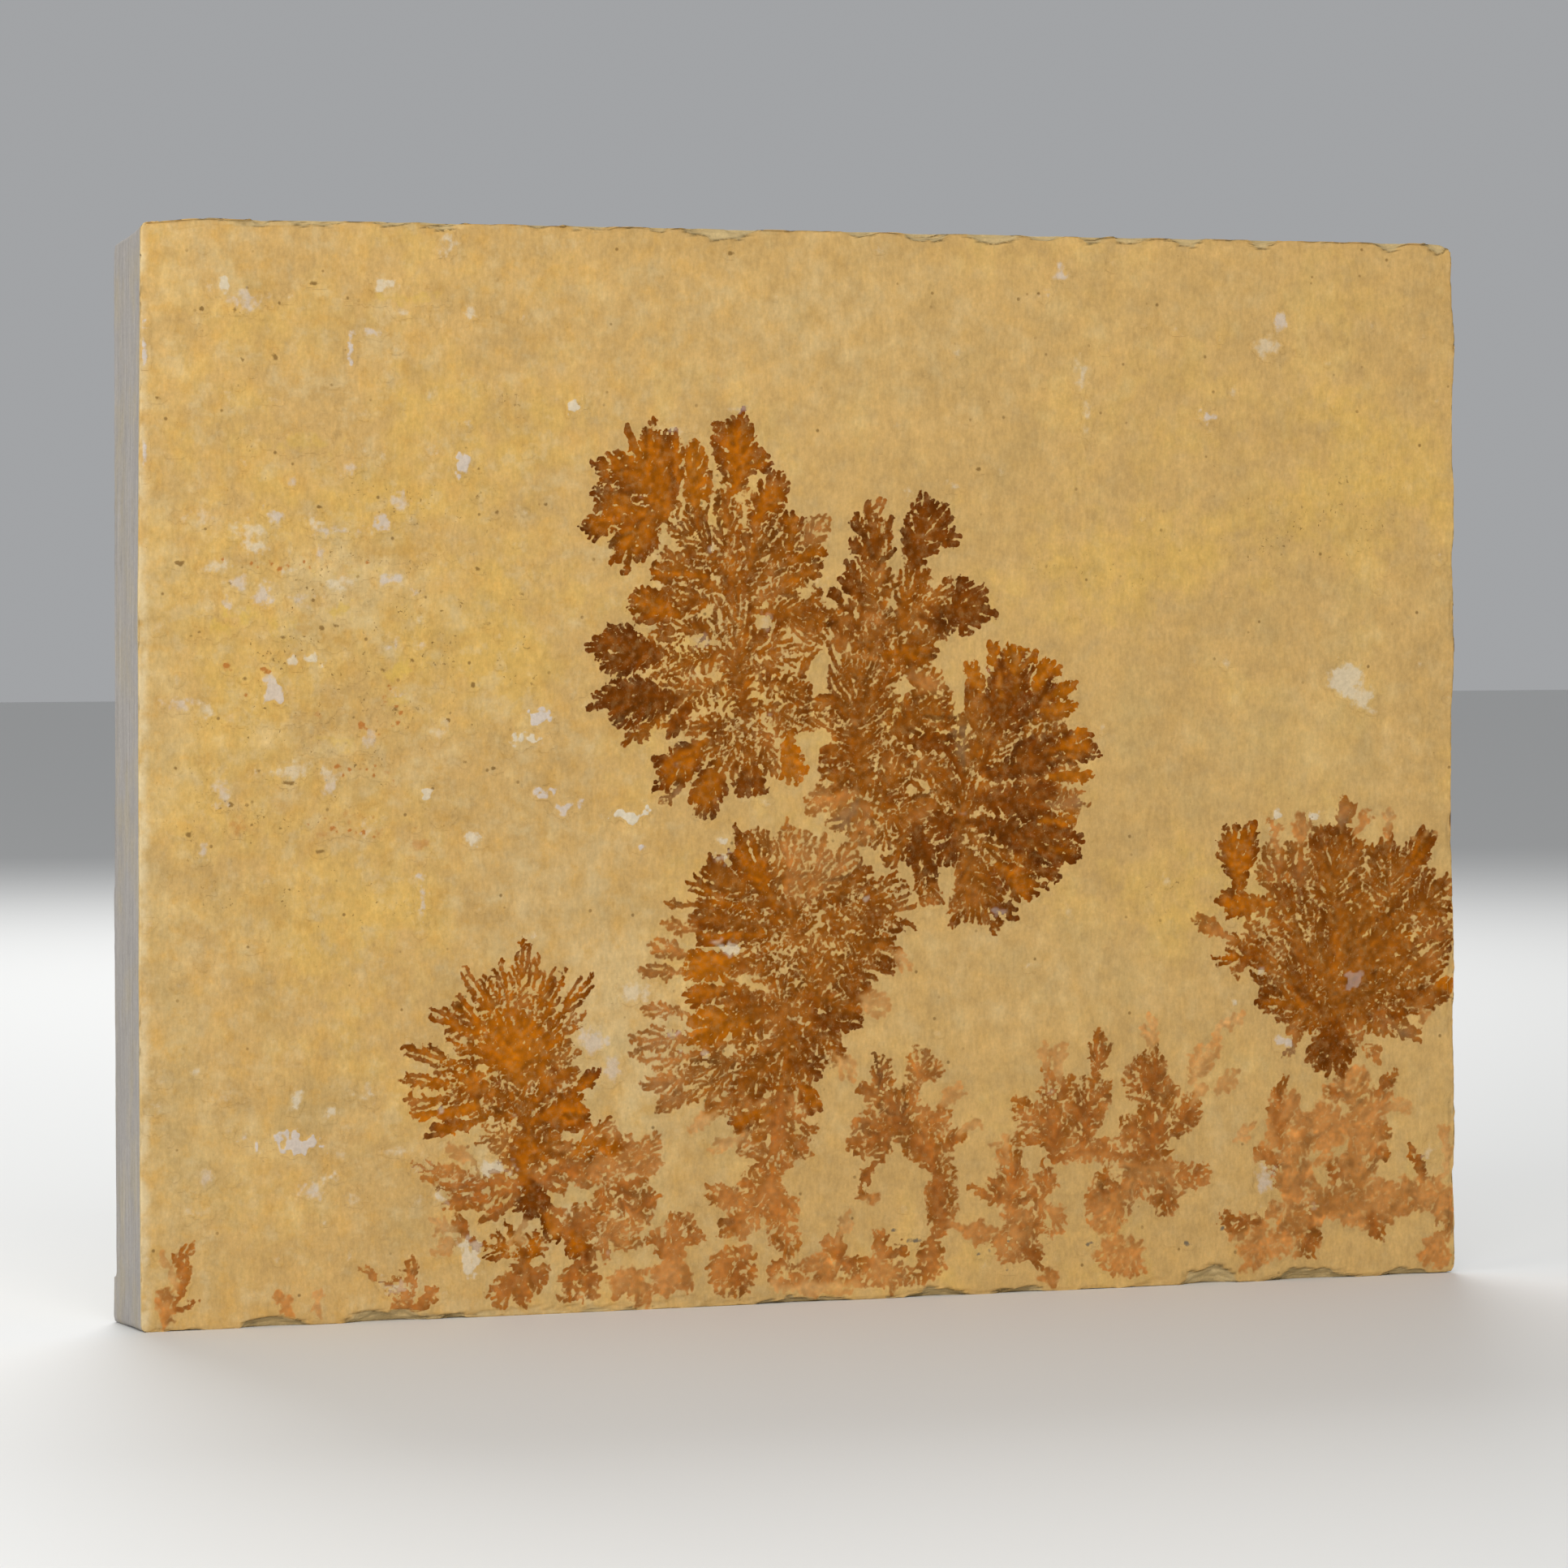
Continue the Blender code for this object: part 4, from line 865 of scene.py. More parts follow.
    def grow_body(self, outline, holes, kind, middle):
        """Fills the rest of the outline with twigs from all of this colony, mostly away from the middle."""
        spacing = KINDS[kind].spacing
        low, high = np.min(outline, axis=0), np.max(outline, axis=0)
        targets = self.rng.uniform(low, high, (int(TRIES * np.prod(high - low) / spacing**2), 2))
        targets = self.apart(clear_of(targets[within(targets, outline)], holes), BODY_APART * spacing)
        targets = thinned(targets, BODY_SPREAD * spacing)
        if not len(targets):
            return

        def rim_of(points):
            return np.full(len(points), BODY_RIM)

        def outward(points):
            return 0.8 * unit(points - middle)

        self.fill(self.own_nodes(), targets, kind, rim_of, outward)


def grown_net():
    """All the fans first, colony by colony, and then the bodies between them."""
    net = Net(np.random.default_rng(SEED))
    for net.colony, (fans, holes, _) in enumerate(COLONIES.values()):
        for row in fans:
            net.grow_fan(Fan(row), holes)
    for net.colony, (fans, holes, bodies) in enumerate(COLONIES.values()):
        for outline, kind in bodies.items():
            net.grow_body(outline, holes, kind, np.mean(outline, axis=0))
    return net


class Twigs:
    """The grown nodes as arrays, with the branch that each belongs to and how far ahead the next tip is."""

    def __init__(self, net):
        self.places = np.array(net.places)
        self.parents = net.parents
        self.kinds = [KINDS[kind] for kind in net.kinds]
        self.colonies = np.array(net.colonies)
        self.rims = np.array(net.rims)
        count = len(self.places)
        length = np.zeros(count)
        for node, parent in enumerate(self.parents):
            if parent >= 0:
                length[node] = math.dist(self.places[node], self.places[parent])
        reach = np.zeros(count)
        heir = np.full(count, -1)
        self.to_tip = np.full(count, 1e9)
        for node in range(count - 1, -1, -1):
            if heir[node] < 0:
                self.to_tip[node] = 0.0
            parent = self.parents[node]
            if parent >= 0:
                if reach[node] + length[node] > reach[parent] or heir[parent] < 0:
                    reach[parent] = max(reach[node] + length[node], reach[parent])
                    heir[parent] = node
                self.to_tip[parent] = min(self.to_tip[parent], self.to_tip[node] + length[node])
        self.branch = np.zeros(count, int)
        self.along = np.zeros(count)
        self.branches = 0
        for node, parent in enumerate(self.parents):
            if parent >= 0 and heir[parent] == node:
                self.branch[node] = self.branch[parent]
                self.along[node] = self.along[parent] + length[node]
            else:
                self.branches += 1
                self.branch[node] = self.branches

    def of_kind(self, name):
        return np.array([getattr(kind, name) for kind in self.kinds])


class Face:
    """A grid over the slab's front with the dendrites drawn on it: signed distance to their edge in mm,
    positive inside, and the nearest node, or -1 far from them."""

    def __init__(self, twigs, rng):
        self.low = np.array([-HALF_WIDTH, 0.0])
        self.shape = tuple(np.ceil(np.array([2 * HALF_WIDTH, HEIGHT]) / FIELD_PITCH).astype(int) + 1)
        columns, rows = np.indices(self.shape)
        self.points = self.low + FIELD_PITCH * np.column_stack([columns.ravel(), rows.ravel()])
        self.first = np.full(self.shape, 9.0)
        self.second = np.full(self.shape, 9.0)
        self.owner = np.full(self.shape, -1)
        self.node = np.full(self.shape, -1)
        self.gap = np.zeros(self.shape)
        self.twigs = twigs
        more_below = 1 + 1.6 * (1 - smooth(self.points[:, 1], 28, 56))
        ragged = [
            more_below * rough(self.points, (0.16, 0.9, seed), (0.25, 3.2, seed + 1)) for seed in (30, 32)
        ]
        self.bent = (self.points + np.column_stack(ragged)).reshape(*self.shape, 2)
        self.draw(twigs, rng)

    def draw(self, twigs, rng):
        """Draws each twig with its own width and gap: close in a fan's middle, parted at its rim and tips."""
        at_tip = np.exp(-twigs.to_tip / TIP_REACH)
        solid = twigs.of_kind("solid")
        patchy = rough(twigs.places, (0.65, 3.6, 2), (0.35, 1.7, 3))
        tapered = 1.0 - 0.35 * patchy - 0.2 * np.exp(-twigs.to_tip / 0.6)
        fullness = np.where(solid, 1.30 - 0.30 * at_tip, tapered)
        radius = twigs.of_kind("twig") * fullness * rng.uniform(0.88, 1.1, twigs.branches + 1)[twigs.branch]
        core_gap, tip_gap = twigs.of_kind("core_gap"), twigs.of_kind("tip_gap")
        cleft = smooth(twigs.rims + rough(twigs.places, (0.3, 1.8, 34)), 0.55, 1.0)
        openness = np.maximum(at_tip, 0.9 * np.where(solid, cleft, 0.0))
        gap = core_gap + (tip_gap - core_gap) * openness + np.where(solid, 0.0, 0.2 * patchy - 0.02)
        grown = np.clip(twigs.along / PARTING, 0, 1)
        gap = gap * grown - 0.5 * (1 - grown)
        for node, parent in enumerate(twigs.parents):
            end = twigs.places[node]
            start = twigs.places[parent] if parent >= 0 else end
            self.stroke(start, end, radius[node], gap[node], twigs.branch[node], node)
            if rng.uniform() < (SOLID_BARB_SHARE if solid[node] else BARB_SHARE):
                turn = math.atan2(*(end - start)[::-1]) + rng.choice((-1, 1)) * rng.uniform(0.6, 1.1)
                barb = end + (radius[node] + rng.uniform(*BARB)) * np.array([math.cos(turn), math.sin(turn)])
                self.stroke(end, barb, BARB_RADIUS, gap[node], twigs.branch[node], node)
        self.value = np.minimum(-self.first, (self.second - self.first) / 2 - self.gap)

    def quads(self):
        return grid_quads(np.arange(self.node.size).reshape(self.shape))

    def window(self, low, high, border, beyond):
        """Slices of the grid from one corner, in mm, to so many points beyond another, or None where nothing
        of that is left inside the grid's border."""
        first = np.maximum(((low - self.low) / FIELD_PITCH).astype(int), border)
        last = ((high - self.low) / FIELD_PITCH).astype(int) + beyond
        last = np.minimum(last, np.array(self.shape) - border)
        return None if (first >= last).any() else (slice(first[0], last[0]), slice(first[1], last[1]))

    def stroke(self, start, end, radius, gap, branch, node):
        """Draws one straight piece of a twig. It keeps the nearest branch, and how near the next one is."""
        reach = radius + STROKE_REACH
        window = self.window(np.minimum(start, end) - reach, np.maximum(start, end) + reach, 0, 2)
        if window is None:
            return
        x, z = np.moveaxis(self.bent[window] - start, 2, 0)
        way = end - start
        size = max(float(way @ way), 1e-12)
        share = np.clip((x * way[0] + z * way[1]) / size, 0, 1)
        far = np.sqrt((x - share * way[0]) ** 2 + (z - share * way[1]) ** 2) - radius

        first, second, owner = self.first[window], self.second[window], self.owner[window]
        closer = far < first
        other = owner != branch
        second[closer & other] = first[closer & other]
        late = ~closer & other & (far < second)
        second[late] = far[late]
        first[closer] = far[closer]
        owner[closer] = branch
        self.gap[window][closer] = gap
        self.node[window][closer] = node

    def spread(self, node_values, passes):
        """The values of the nearest nodes on the grid, smeared over their neighbours that many times."""
        known = (self.node >= 0).astype(float)
        values = node_values[self.node] * known.reshape(known.shape + (1,) * (node_values.ndim - 1))
        for _ in range(passes):
            for axis in (0, 1):
                values = (np.roll(values, 1, axis) + 2 * values + np.roll(values, -1, axis)) / 4
                known = (np.roll(known, 1, axis) + 2 * known + np.roll(known, -1, axis)) / 4
        known = np.maximum(known, 1e-6).reshape(known.shape + (1,) * (node_values.ndim - 1))
        return (values / known).reshape(-1, *node_values.shape[1:])


def mineral_colour(twigs, face, rng):
    """Linear colour of the mineral film at each point of the face."""
    core = twigs.of_kind("core").astype(float)
    rim = twigs.of_kind("rim").astype(float)
    edge = np.clip((twigs.rims - 0.45) / 0.4, 0, 1) + 0.3 * np.exp(-twigs.to_tip / 1.2) * (twigs.rims > 0.5)
    edge *= 0.9 + 0.5 * soft_noise(twigs.places, 3.4, SEED + 35)
    edge = np.clip(edge, 0, 1)[:, None]
    colour = face.spread(core * (1 - edge) + rim * edge, 4)
    shade = 1 + rng.normal(0, 0.08, twigs.branches + 1)[twigs.branch]
    colour = colour * face.spread(shade, 1)[:, None]

    points = face.points
    tone = rough(points, (1, 6, 4), (0.6, 2.5, 5))
    openness = face.spread(np.where(twigs.of_kind("solid"), 0.25, 0.9), 3)
    low = 1 - smooth(points[:, 1], 22, 52)
    pale = (np.clip(0.9 * tone - 0.1 + 0.3 * low, 0, 1) * np.maximum(openness, 0.75 * low))[:, None]
    deep = (np.clip(-0.8 * tone - 0.15, 0, 1) * 0.75 * openness)[:, None]
    light = np.array(CLAY) + np.outer(low, np.subtract(SALMON, CLAY))
    colour = colour * (1 - pale) + light * pale
    colour = colour * (1 - deep) + np.array(DARK) * deep
    return linear(np.clip(colour * (1 + 0.09 * soft_noise(points, 0.8, SEED + 6))[:, None], 0, 255))


def tones(places):
    """Gold, pale and dull amounts and closeness to the left arris, at points in mm in the row frame."""
    x = places[:, 0] - VIEW_SHIFT_X
    z = places[:, 2]
    warp = np.column_stack([x, z])
    x = x + rough(warp, (7, 16, 7))
    z = z + rough(warp, (7, 16, 8))
    amounts = np.zeros((len(places), 4))
    for middle_x, middle_z, radius_x, radius_z, *given in TONES:
        near = np.exp(-(((x - middle_x) / radius_x) ** 2) - ((z - middle_z) / radius_z) ** 2)
        amounts[:, :3] += near[:, None] * np.array(given)
    edge = places[:, 0] + HALF_WIDTH + rough(places, (0.7, 3, 9))
    amounts[:, 3] = 1 - smooth(edge, 0.6, 2.6)
    return np.clip(amounts, 0, 1)


def mesh_object(name, vertices, faces):
    """A mesh object from points in mm, smooth shaded."""
    mesh = bpy.data.meshes.new(name)
    mesh.from_pydata((np.asarray(vertices) * MM).tolist(), [], np.asarray(faces).tolist())
    mesh.validate()
    mesh.polygons.foreach_set("use_smooth", np.ones(len(mesh.polygons), bool))
    obj = bpy.data.objects.new(name, mesh)
    bpy.context.scene.collection.objects.link(obj)
    return obj


def places_of(mesh):
    places = np.empty(len(mesh.vertices) * 3, np.float32)
    mesh.vertices.foreach_get("co", places)
    return places.reshape(-1, 3).astype(float) / MM


def set_colours(mesh, name, values):
    """A point attribute from rows of three or four numbers."""
    values = np.asarray(values, np.float32)
    if values.shape[1] == 3:
        values = np.column_stack([values, np.ones(len(values), np.float32)])
    attribute = mesh.attributes.new(name, "FLOAT_COLOR", "POINT")
    attribute.data.foreach_set("color", values.astype(np.float32).ravel())


def set_numbers(mesh, name, values):
    attribute = mesh.attributes.new(name, "FLOAT", "POINT")
    attribute.data.foreach_set("value", np.asarray(values, np.float32))


def set_bake_map(mesh, corner_uv):
    """Gives the mesh the UV map named OFBake, from one pair for each face corner."""
    layer = mesh.uv_layers.new(name="OFBake")
    layer.data.foreach_set("uv", np.asarray(corner_uv, np.float32).ravel())


def corner_vertices(mesh):
    corners = np.empty(len(mesh.loops), np.int32)
    mesh.loops.foreach_get("vertex_index", corners)
    return corners


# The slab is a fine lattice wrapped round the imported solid, in mm. Its lines are close together in a zone
# along the arrises. It starts a margin outside the solid and is cast towards a box an inset within it.
EDGE_ZONE = 6.0
EDGE_PITCH = 0.42
FACE_PITCH = 1.45
WRAP_MARGIN = 1.0
WRAP_INSET = 5.0
# The middle of the back starts so far in from its edges, and keeps this share of its faces.
BACK_RIM = 8.0
BACK_KEPT = 0.3
# Deepest step, in mm, that the jagged outline of a chip may make.
FRAY_MOST = 2.5
# How square to an axis a face has to be to belong wholly to that side of the slab, from and to.
SQUARE = (0.6, 0.9)


def lattice_lines(low, high):
    """Places of the lattice lines along one axis, from low to high."""
    edge = np.linspace(0, EDGE_ZONE, round(EDGE_ZONE / EDGE_PITCH) + 1)
    inner = high - low - 2 * EDGE_ZONE
    middle = np.linspace(0, inner, round(inner / FACE_PITCH) + 1)[1:-1] + EDGE_ZONE
    return low + np.concatenate([edge, middle, high - low - edge[::-1]])


def grid_quads(number):
    """The quads between the numbered points of a grid."""
    corners = (number[:-1, :-1], number[1:, :-1], number[1:, 1:], number[:-1, 1:])
    return np.stack(corners, axis=-1).reshape(-1, 4)


def box_lattice(axes):
    """Vertices of a box's surface lattice, its quads, and for each quad its side from 0 to 5."""
    counts = [len(axis) for axis in axes]
    number = np.full(counts, -1)
    surface = np.zeros(counts, bool)
    for axis in range(3):
        for end in (0, -1):
            index = [slice(None)] * 3
            index[axis] = end
            surface[tuple(index)] = True
    number[surface] = np.arange(surface.sum())
    grid = np.stack(np.meshgrid(*axes, indexing="ij"), axis=-1)
    quads = []
    sides = []
    for axis in range(3):
        for end in (0, -1):
            sheet = np.take(number, 0 if end == 0 else counts[axis] - 1, axis=axis)
            squares = grid_quads(sheet)
            if (end == 0) == (axis != 1):
                squares = squares[:, ::-1]
            quads.append(squares)
            sides.append(np.full(len(squares), 2 * axis + (end == -1)))
    return grid[surface], np.concatenate(quads), np.concatenate(sides)


def wrapped(points, tree):
    """The lattice points cast inwards onto the solid in the tree, which is in metres."""
    low = np.array([-HALF_WIDTH + WRAP_INSET, -HALF_DEPTH + WRAP_INSET, WRAP_INSET])
    high = np.array([HALF_WIDTH - WRAP_INSET, HALF_DEPTH - WRAP_INSET, HEIGHT - WRAP_INSET])
    ways = np.clip(points, low, high) - points
    landed = np.empty_like(points)
    for row, (point, way) in enumerate(zip(points * MM, ways)):
        hit = tree.ray_cast(Vector(point), Vector(way).normalized())[0]
        if hit is None:
            hit = tree.find_nearest(Vector(point))[0]
        landed[row] = np.array(hit) / MM
    return landed


def front_hit(tree, x, z):
    """Y of the tree's front surface at x and z, in mm in the row frame, or NaN beside it."""
    hit = tree.ray_cast(Vector((x * MM, RAYS_FROM_Y * MM, z * MM)), Vector((0, 1, 0)))[0]
    return math.nan if hit is None else hit.y / MM


def fray_chips(places, front, tree):
    """Gives each point of the front the depth of a spot near it, so the outlines of its chips are jagged."""
    aside = rough(places, (0.9, 2.7, 60), (0.5, 1.0, 61))
    up = rough(places, (0.8, 2.7, 62), (0.5, 1.0, 63))
    for row in np.flatnonzero(front):
        x, y, z = places[row]
        beside = front_hit(tree, x + aside[row], z + up[row])
        if abs(beside - y) < FRAY_MOST:
            places[row, 1] = beside


def border_flakes(places):
    """How deep the front is flaked off in thin irregular steps along its top, foot and right arris, in mm."""
    away = np.minimum(places[:, 2], HEIGHT - places[:, 2])
    away = np.minimum(away, HALF_WIDTH - places[:, 0])
    reach = 1.0 + rough(places, (1.5, 11, 50), (0.9, 3.4, 51), (0.4, 1.4, 52))
    inner = 0.2 + rough(places, (0.9, 7, 53), (0.6, 2.1, 54))
    return 0.30 * smooth(reach - away, 0, 0.45) + 0.35 * smooth(inner - away, 0, 0.45)


def slab_relief(places, normals):
    """How far the stone's own relief stands out along the normal, in mm."""
    front = smooth(-normals[:, 1], *SQUARE)
    back = smooth(normals[:, 1], *SQUARE)
    left = smooth(-normals[:, 0], *SQUARE)
    edge = 1 - front - back
    broad = rough(places, (0.09, 14, 10), (0.05, 5, 11))
    crust = tones(places)[:, 0] * np.abs(rough(places, (0.10, 3.1, 12)))
    laminae = soft_noise(places * (0.05, 1, 0.05), 0.9, SEED + 13)
    sawn = left * (0.04 * laminae + rough(places, (0.04, 2.5, 16)))
    hackly = (1 - left) * (0.07 * laminae + rough(places, (0.16, 4.5, 14), (0.09, 1.6, 15)))
    cleft = rough(places, (0.22, 17, 17), (0.10, 5.5, 18), (0.05, 2.2, 19))
    return front * (broad + crust - border_flakes(places)) + back * cleft + edge * (sawn + hackly)


# Where each side of the slab lies in the bake map: left, bottom, width, height. The sides are 0 left,
# 1 right, 2 front, 3 back, 4 foot and 5 top.
ROOMS = {2: (0.0, 0.0, 1.0, 0.75), 3: (0.0, 0.755, 0.32, 0.24)}
ROOMS.update({side: (0.33, 0.755 + 0.06 * row, 0.66, 0.055) for row, side in enumerate((0, 1, 4, 5))})


def slab_bake_map(points, quads, sides):
    """A UV pair for each corner of each quad: the front takes most of the map."""
    low, high = points.min(0), points.max(0)
    share = (points - low) / (high - low)
    uv = np.empty((len(quads), 4, 2))
    for side in range(6):
        chosen = sides == side
        corners = share[quads[chosen]]
        along = corners[..., 2] if side < 2 else corners[..., 0]
        up = corners[..., 2] if side in (2, 3) else corners[..., 1]
        left, bottom, width, height = ROOMS[side]
        uv[chosen, :, 0] = left + along * width
        uv[chosen, :, 1] = bottom + up * height
    return uv


def thin_back(obj):
    """Merges faces in the middle of the back, which has no fine shape."""
    places = places_of(obj.data)
    inside = (places[:, 1] > 0) & (np.abs(places[:, 0]) < HALF_WIDTH - BACK_RIM)
    inside &= (places[:, 2] > BACK_RIM) & (places[:, 2] < HEIGHT - BACK_RIM)
    group = obj.vertex_groups.new(name="back")
    group.add(np.flatnonzero(inside).tolist(), 1.0, "REPLACE")
    modifier = obj.modifiers.new("thin_back", "DECIMATE")
    total = len(obj.data.polygons)
    spared = 2 * inside.sum() * (1 - BACK_KEPT)
    modifier.ratio = 1 - spared / total
    modifier.vertex_group = group.name
    bpy.context.view_layer.update()
    thinner = bpy.data.meshes.new_from_object(obj.evaluated_get(bpy.context.evaluated_depsgraph_get()))
    obj.modifiers.clear()
    obj.vertex_groups.clear()
    obj.data = thinner


def scarp_shade_mask(mesh):
    """Painted shade: 1 on the little steep faces round the chips of the front, where shade falls, 0
    elsewhere.
    """
    places = places_of(mesh)
    depth = places[:, 1] - FRONT_Y
    facing = -np.array([vertex.normal.y for vertex in mesh.vertices])
    steep = (1 - smooth(facing, 0.75, 0.97)) * smooth(places[:, 0] + HALF_WIDTH, 3, 6)
    below_face = smooth(depth, 0.05, 0.2) * (1 - 0.75 * smooth(depth, 0.45, 0.8))
    return steep * below_face * (1 - smooth(depth, 1.2, 1.8))


def build_slab():
    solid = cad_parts[SLAB_NODE]
    tree = BVHTree.FromObject(solid, bpy.context.evaluated_depsgraph_get())
    axes = (
        lattice_lines(-HALF_WIDTH - WRAP_MARGIN, HALF_WIDTH + WRAP_MARGIN),
        lattice_lines(-HALF_DEPTH - WRAP_MARGIN, HALF_DEPTH + WRAP_MARGIN),
        lattice_lines(-WRAP_MARGIN, HEIGHT + WRAP_MARGIN),
    )
    points, quads, sides = box_lattice(axes)
    uv = slab_bake_map(points, quads, sides)
    triangles = np.concatenate([quads[:, [0, 1, 2]], quads[:, [0, 2, 3]]])
    corner_uv = np.concatenate([uv[:, [0, 1, 2]], uv[:, [0, 2, 3]]])
    landed = wrapped(points, tree)
    fray_chips(landed, points[:, 1] < -HALF_DEPTH, tree)
    obj = mesh_object("stone_slab", landed, triangles)
    set_bake_map(obj.data, corner_uv)

    places = places_of(obj.data)
    normals = np.array([vertex.normal for vertex in obj.data.vertices])
    places += normals * slab_relief(places, normals)[:, None]
    places[:, 2] = np.maximum(places[:, 2], 0)
    obj.data.vertices.foreach_set("co", (places * MM).astype(np.float32).ravel())
    thin_back(obj)
    set_colours(obj.data, "tint", tones(places_of(obj.data)))
    # Painted shade on the steep walls round the chips of the front.
    set_numbers(obj.data, "scarp_shade", scarp_shade_mask(obj.data))
    return obj


def film_object(name, points, quads, tree, lift):
    """A sheet over the slab's front made of the quads, whose corners are rows of points. Returns the object
    and the row that each vertex stands at. Lift, in mm, is one for each point."""
    used = np.unique(quads)
    depth = np.array([front_hit(tree, x + VIEW_SHIFT_X, z) for x, z in points[used]])
    landed = np.isfinite(depth)
    row_of = np.full(len(points), -1)
    row_of[used[landed]] = np.arange(landed.sum())
    quads = row_of[quads]
    quads = quads[(quads >= 0).all(axis=1)]
    used = used[landed]
    places = np.column_stack([points[used, 0] + VIEW_SHIFT_X, depth[landed] - lift[used], points[used, 1]])
    obj = mesh_object(name, places, quads)
    flat = places_of(obj.data)[:, [0, 2]]
    low, high = flat.min(0), flat.max(0)
    set_bake_map(obj.data, ((flat - low) / (high - low).max())[corner_vertices(obj.data)])
    set_colours(obj.data, "tint", tones(places_of(obj.data)))
    return obj, used


def build_dendrites(tree, material, face, marks, rng):
    """One film for each colony, all cut from the same grid so that they meet without a gap. Returns how far
    each point of the face is inside a film."""
    twigs = face.twigs
    points = face.points
    bald = rough(points, (1, 0.8, 21), (0.6, 2.6, 22)) - 0.35
    value = face.value.ravel() - WEAR_DEPTH * face.spread(twigs.of_kind("wear"), 2) * np.clip(bald, 0, 1)
    dusty = (DUST * marks.strength * marks.raised * smooth(marks.value, -0.2, 0.6))[:, None]
    colour = mineral_colour(twigs, face, rng) * (1 - dusty) + marks.pigment * dusty
    strength = face.spread(twigs.of_kind("strength"), 3)
    fade = face.spread(twigs.of_kind("fade"), 3)
    lift = np.full(len(points), FILM_LIFT)
    colony_at = np.where(face.node.ravel() < 0, -1, twigs.colonies[face.node.ravel()])
    quads = face.quads()
    quads = quads[value[quads].max(axis=1) > -FIELD_MARGIN]
    colony_of = colony_at[quads].max(axis=1)
    for colony, name in enumerate(COLONIES):
        obj, used = film_object(name, points, quads[colony_of == colony], tree, lift)
        depth = places_of(obj.data)[:, 1] - FRONT_Y
        set_colours(obj.data, "pigment", colour[used])
        set_numbers(obj.data, "field", np.minimum(value[used], 2 * (FILM_DEEPEST - depth)))
        set_numbers(obj.data, "strength", strength[used])
        set_numbers(obj.data, "fade", fade[used])
        finish_piece(obj, material)
    return value


def mark_rows():
    """The flakes, stains and specks read off the photograph, and many small flakes, thickest on the left.
    To each row comes its colour and how much it stands out."""
    rng = np.random.default_rng(SEED + 23)
    rows = [(*row, LILAC if rng.uniform() < 0.5 else CHALK, 1.0) for row in FLAKES]
    rows += [(*row, 0.0) for row in STAINS]
    for x, z, radius, colour in SPECKS:
        wide, high = radius * rng.uniform((0.7, 0.5), (1.5, 0.8))
        rows.append((x, z, wide, high, SPECK_STRENGTH, colour, 0.0))
    for x, z, reach_x, reach_z, count, colour in SPECKLED:
        for _ in range(count):
            place = rng.normal((x, z), (0.5 * reach_x, 0.5 * reach_z))
            radius = rng.uniform(0.3, 0.5)
            rows.append((*place, radius * rng.uniform(0.8, 1.5), radius, SPECK_STRENGTH, colour, 0.0))
    named = len(rows)
    while len(rows) < named + SMALL_FLAKES:
        x = rng.uniform(-HALF_WIDTH, HALF_WIDTH)
        z = rng.uniform(3, HEIGHT - 3)
        if rng.uniform() < SMALL_FLAKE_SHARES[x >= SMALL_FLAKES_LEFT_OF]:
            radius = SMALL_FLAKE_MOST * rng.uniform(0.25, 1) ** 2
            rows.append((x, z, radius * rng.uniform(0.7, 1.5), radius, rng.uniform(0.2, 0.6), CHALK, 1.0))
    return rows


class Marks:
    """Flakes, stains and specks drawn on the face's grid: how far inside one each point is, in mm, how strong
    and what colour it is, and 1 where it stands out. They keep off the border of the grid."""

    BORDER = 4

    def __init__(self, face):
        shape = face.shape
        self.value = np.full(shape, -9.0)
        self.strength = np.zeros(shape)
        self.raised = np.zeros(shape)
        self.pigment = np.zeros((*shape, 3))
        points = face.points.reshape(*shape, 2)
        for *row, amount, colour, stands in mark_rows():
            middle, radius = np.array(row[:2]), np.array(row[2:])
            reach = 1.8 * radius + 1.6
            window = face.window(middle - reach, middle + reach, self.BORDER, 1)
            if window is None:
                continue
            here = points[window].reshape(-1, 2)
            ragged = rough(here, (0.7, 2.1, 24), (0.5, 0.8, 25))
            away = np.hypot(*((here - middle) / radius).T)
            near = radius.min() * (1 - away) + 1.2 * min(radius.min(), FLAKE_RAGGED) * ragged
            near = near.reshape(points[window].shape[:2])
            closer = near > self.value[window]
            self.value[window][closer] = near[closer]
            self.strength[window][closer] = amount
            self.raised[window][closer] = stands
            self.pigment[window][closer] = linear(colour)
        self.value = self.value.ravel()
        self.strength = self.strength.ravel()
        self.raised = self.raised.ravel()
        self.pigment = self.pigment.reshape(-1, 3)


def build_flakes(tree, material, face, marks, film):
    """One sheet beside the films with a patch for each thin pale crust, in low relief, stain and speck."""
    crisp = smooth(marks.strength, CRISP_FROM, CRISP_AT)
    quads = face.quads()
    shown = marks.value[quads].max(axis=1) > -FLAKE_MARGIN
    shown &= film[quads].min(axis=1) < -FLAKE_OFF_FILM
    lift = 2 * FILM_LIFT + (0.03 + 0.10 * crisp) * marks.raised * smooth(marks.value, -0.1, 0.5)
    obj, used = film_object("calcite_flakes", face.points, quads[shown], tree, lift)
    set_colours(obj.data, "pigment", marks.pigment[used])
    set_numbers(obj.data, "field", marks.value[used])
    set_numbers(obj.data, "strength", marks.strength[used])
    finish_piece(obj, material)


def finish_piece(obj, material):
    obj.data.materials.append(material)
    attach(obj, "root")


# Stone colours, sRGB from 0 to 255.
TAN = (204, 166, 104)
GOLD = (213, 173, 90)
PALE = (213, 185, 133)
AMBER = (202, 156, 80)
DULL = (198, 167, 109)
CREAM = (226, 206, 164)
CHIP = (206, 182, 132)
HAZE = (217, 195, 146)
SPECK = (128, 98, 52)
GREY = (172, 166, 160)
GREY_WARM = (182, 170, 148)
OLIVE = (196, 174, 128)
# Dark seams in the chips, and painted shade on the steep walls round them.
DARK_SEAM_AND_SCARP_SHADE = (96, 82, 52)
BACK_SKIN = (190, 170, 130)
BACK_PALE = (186, 176, 152)

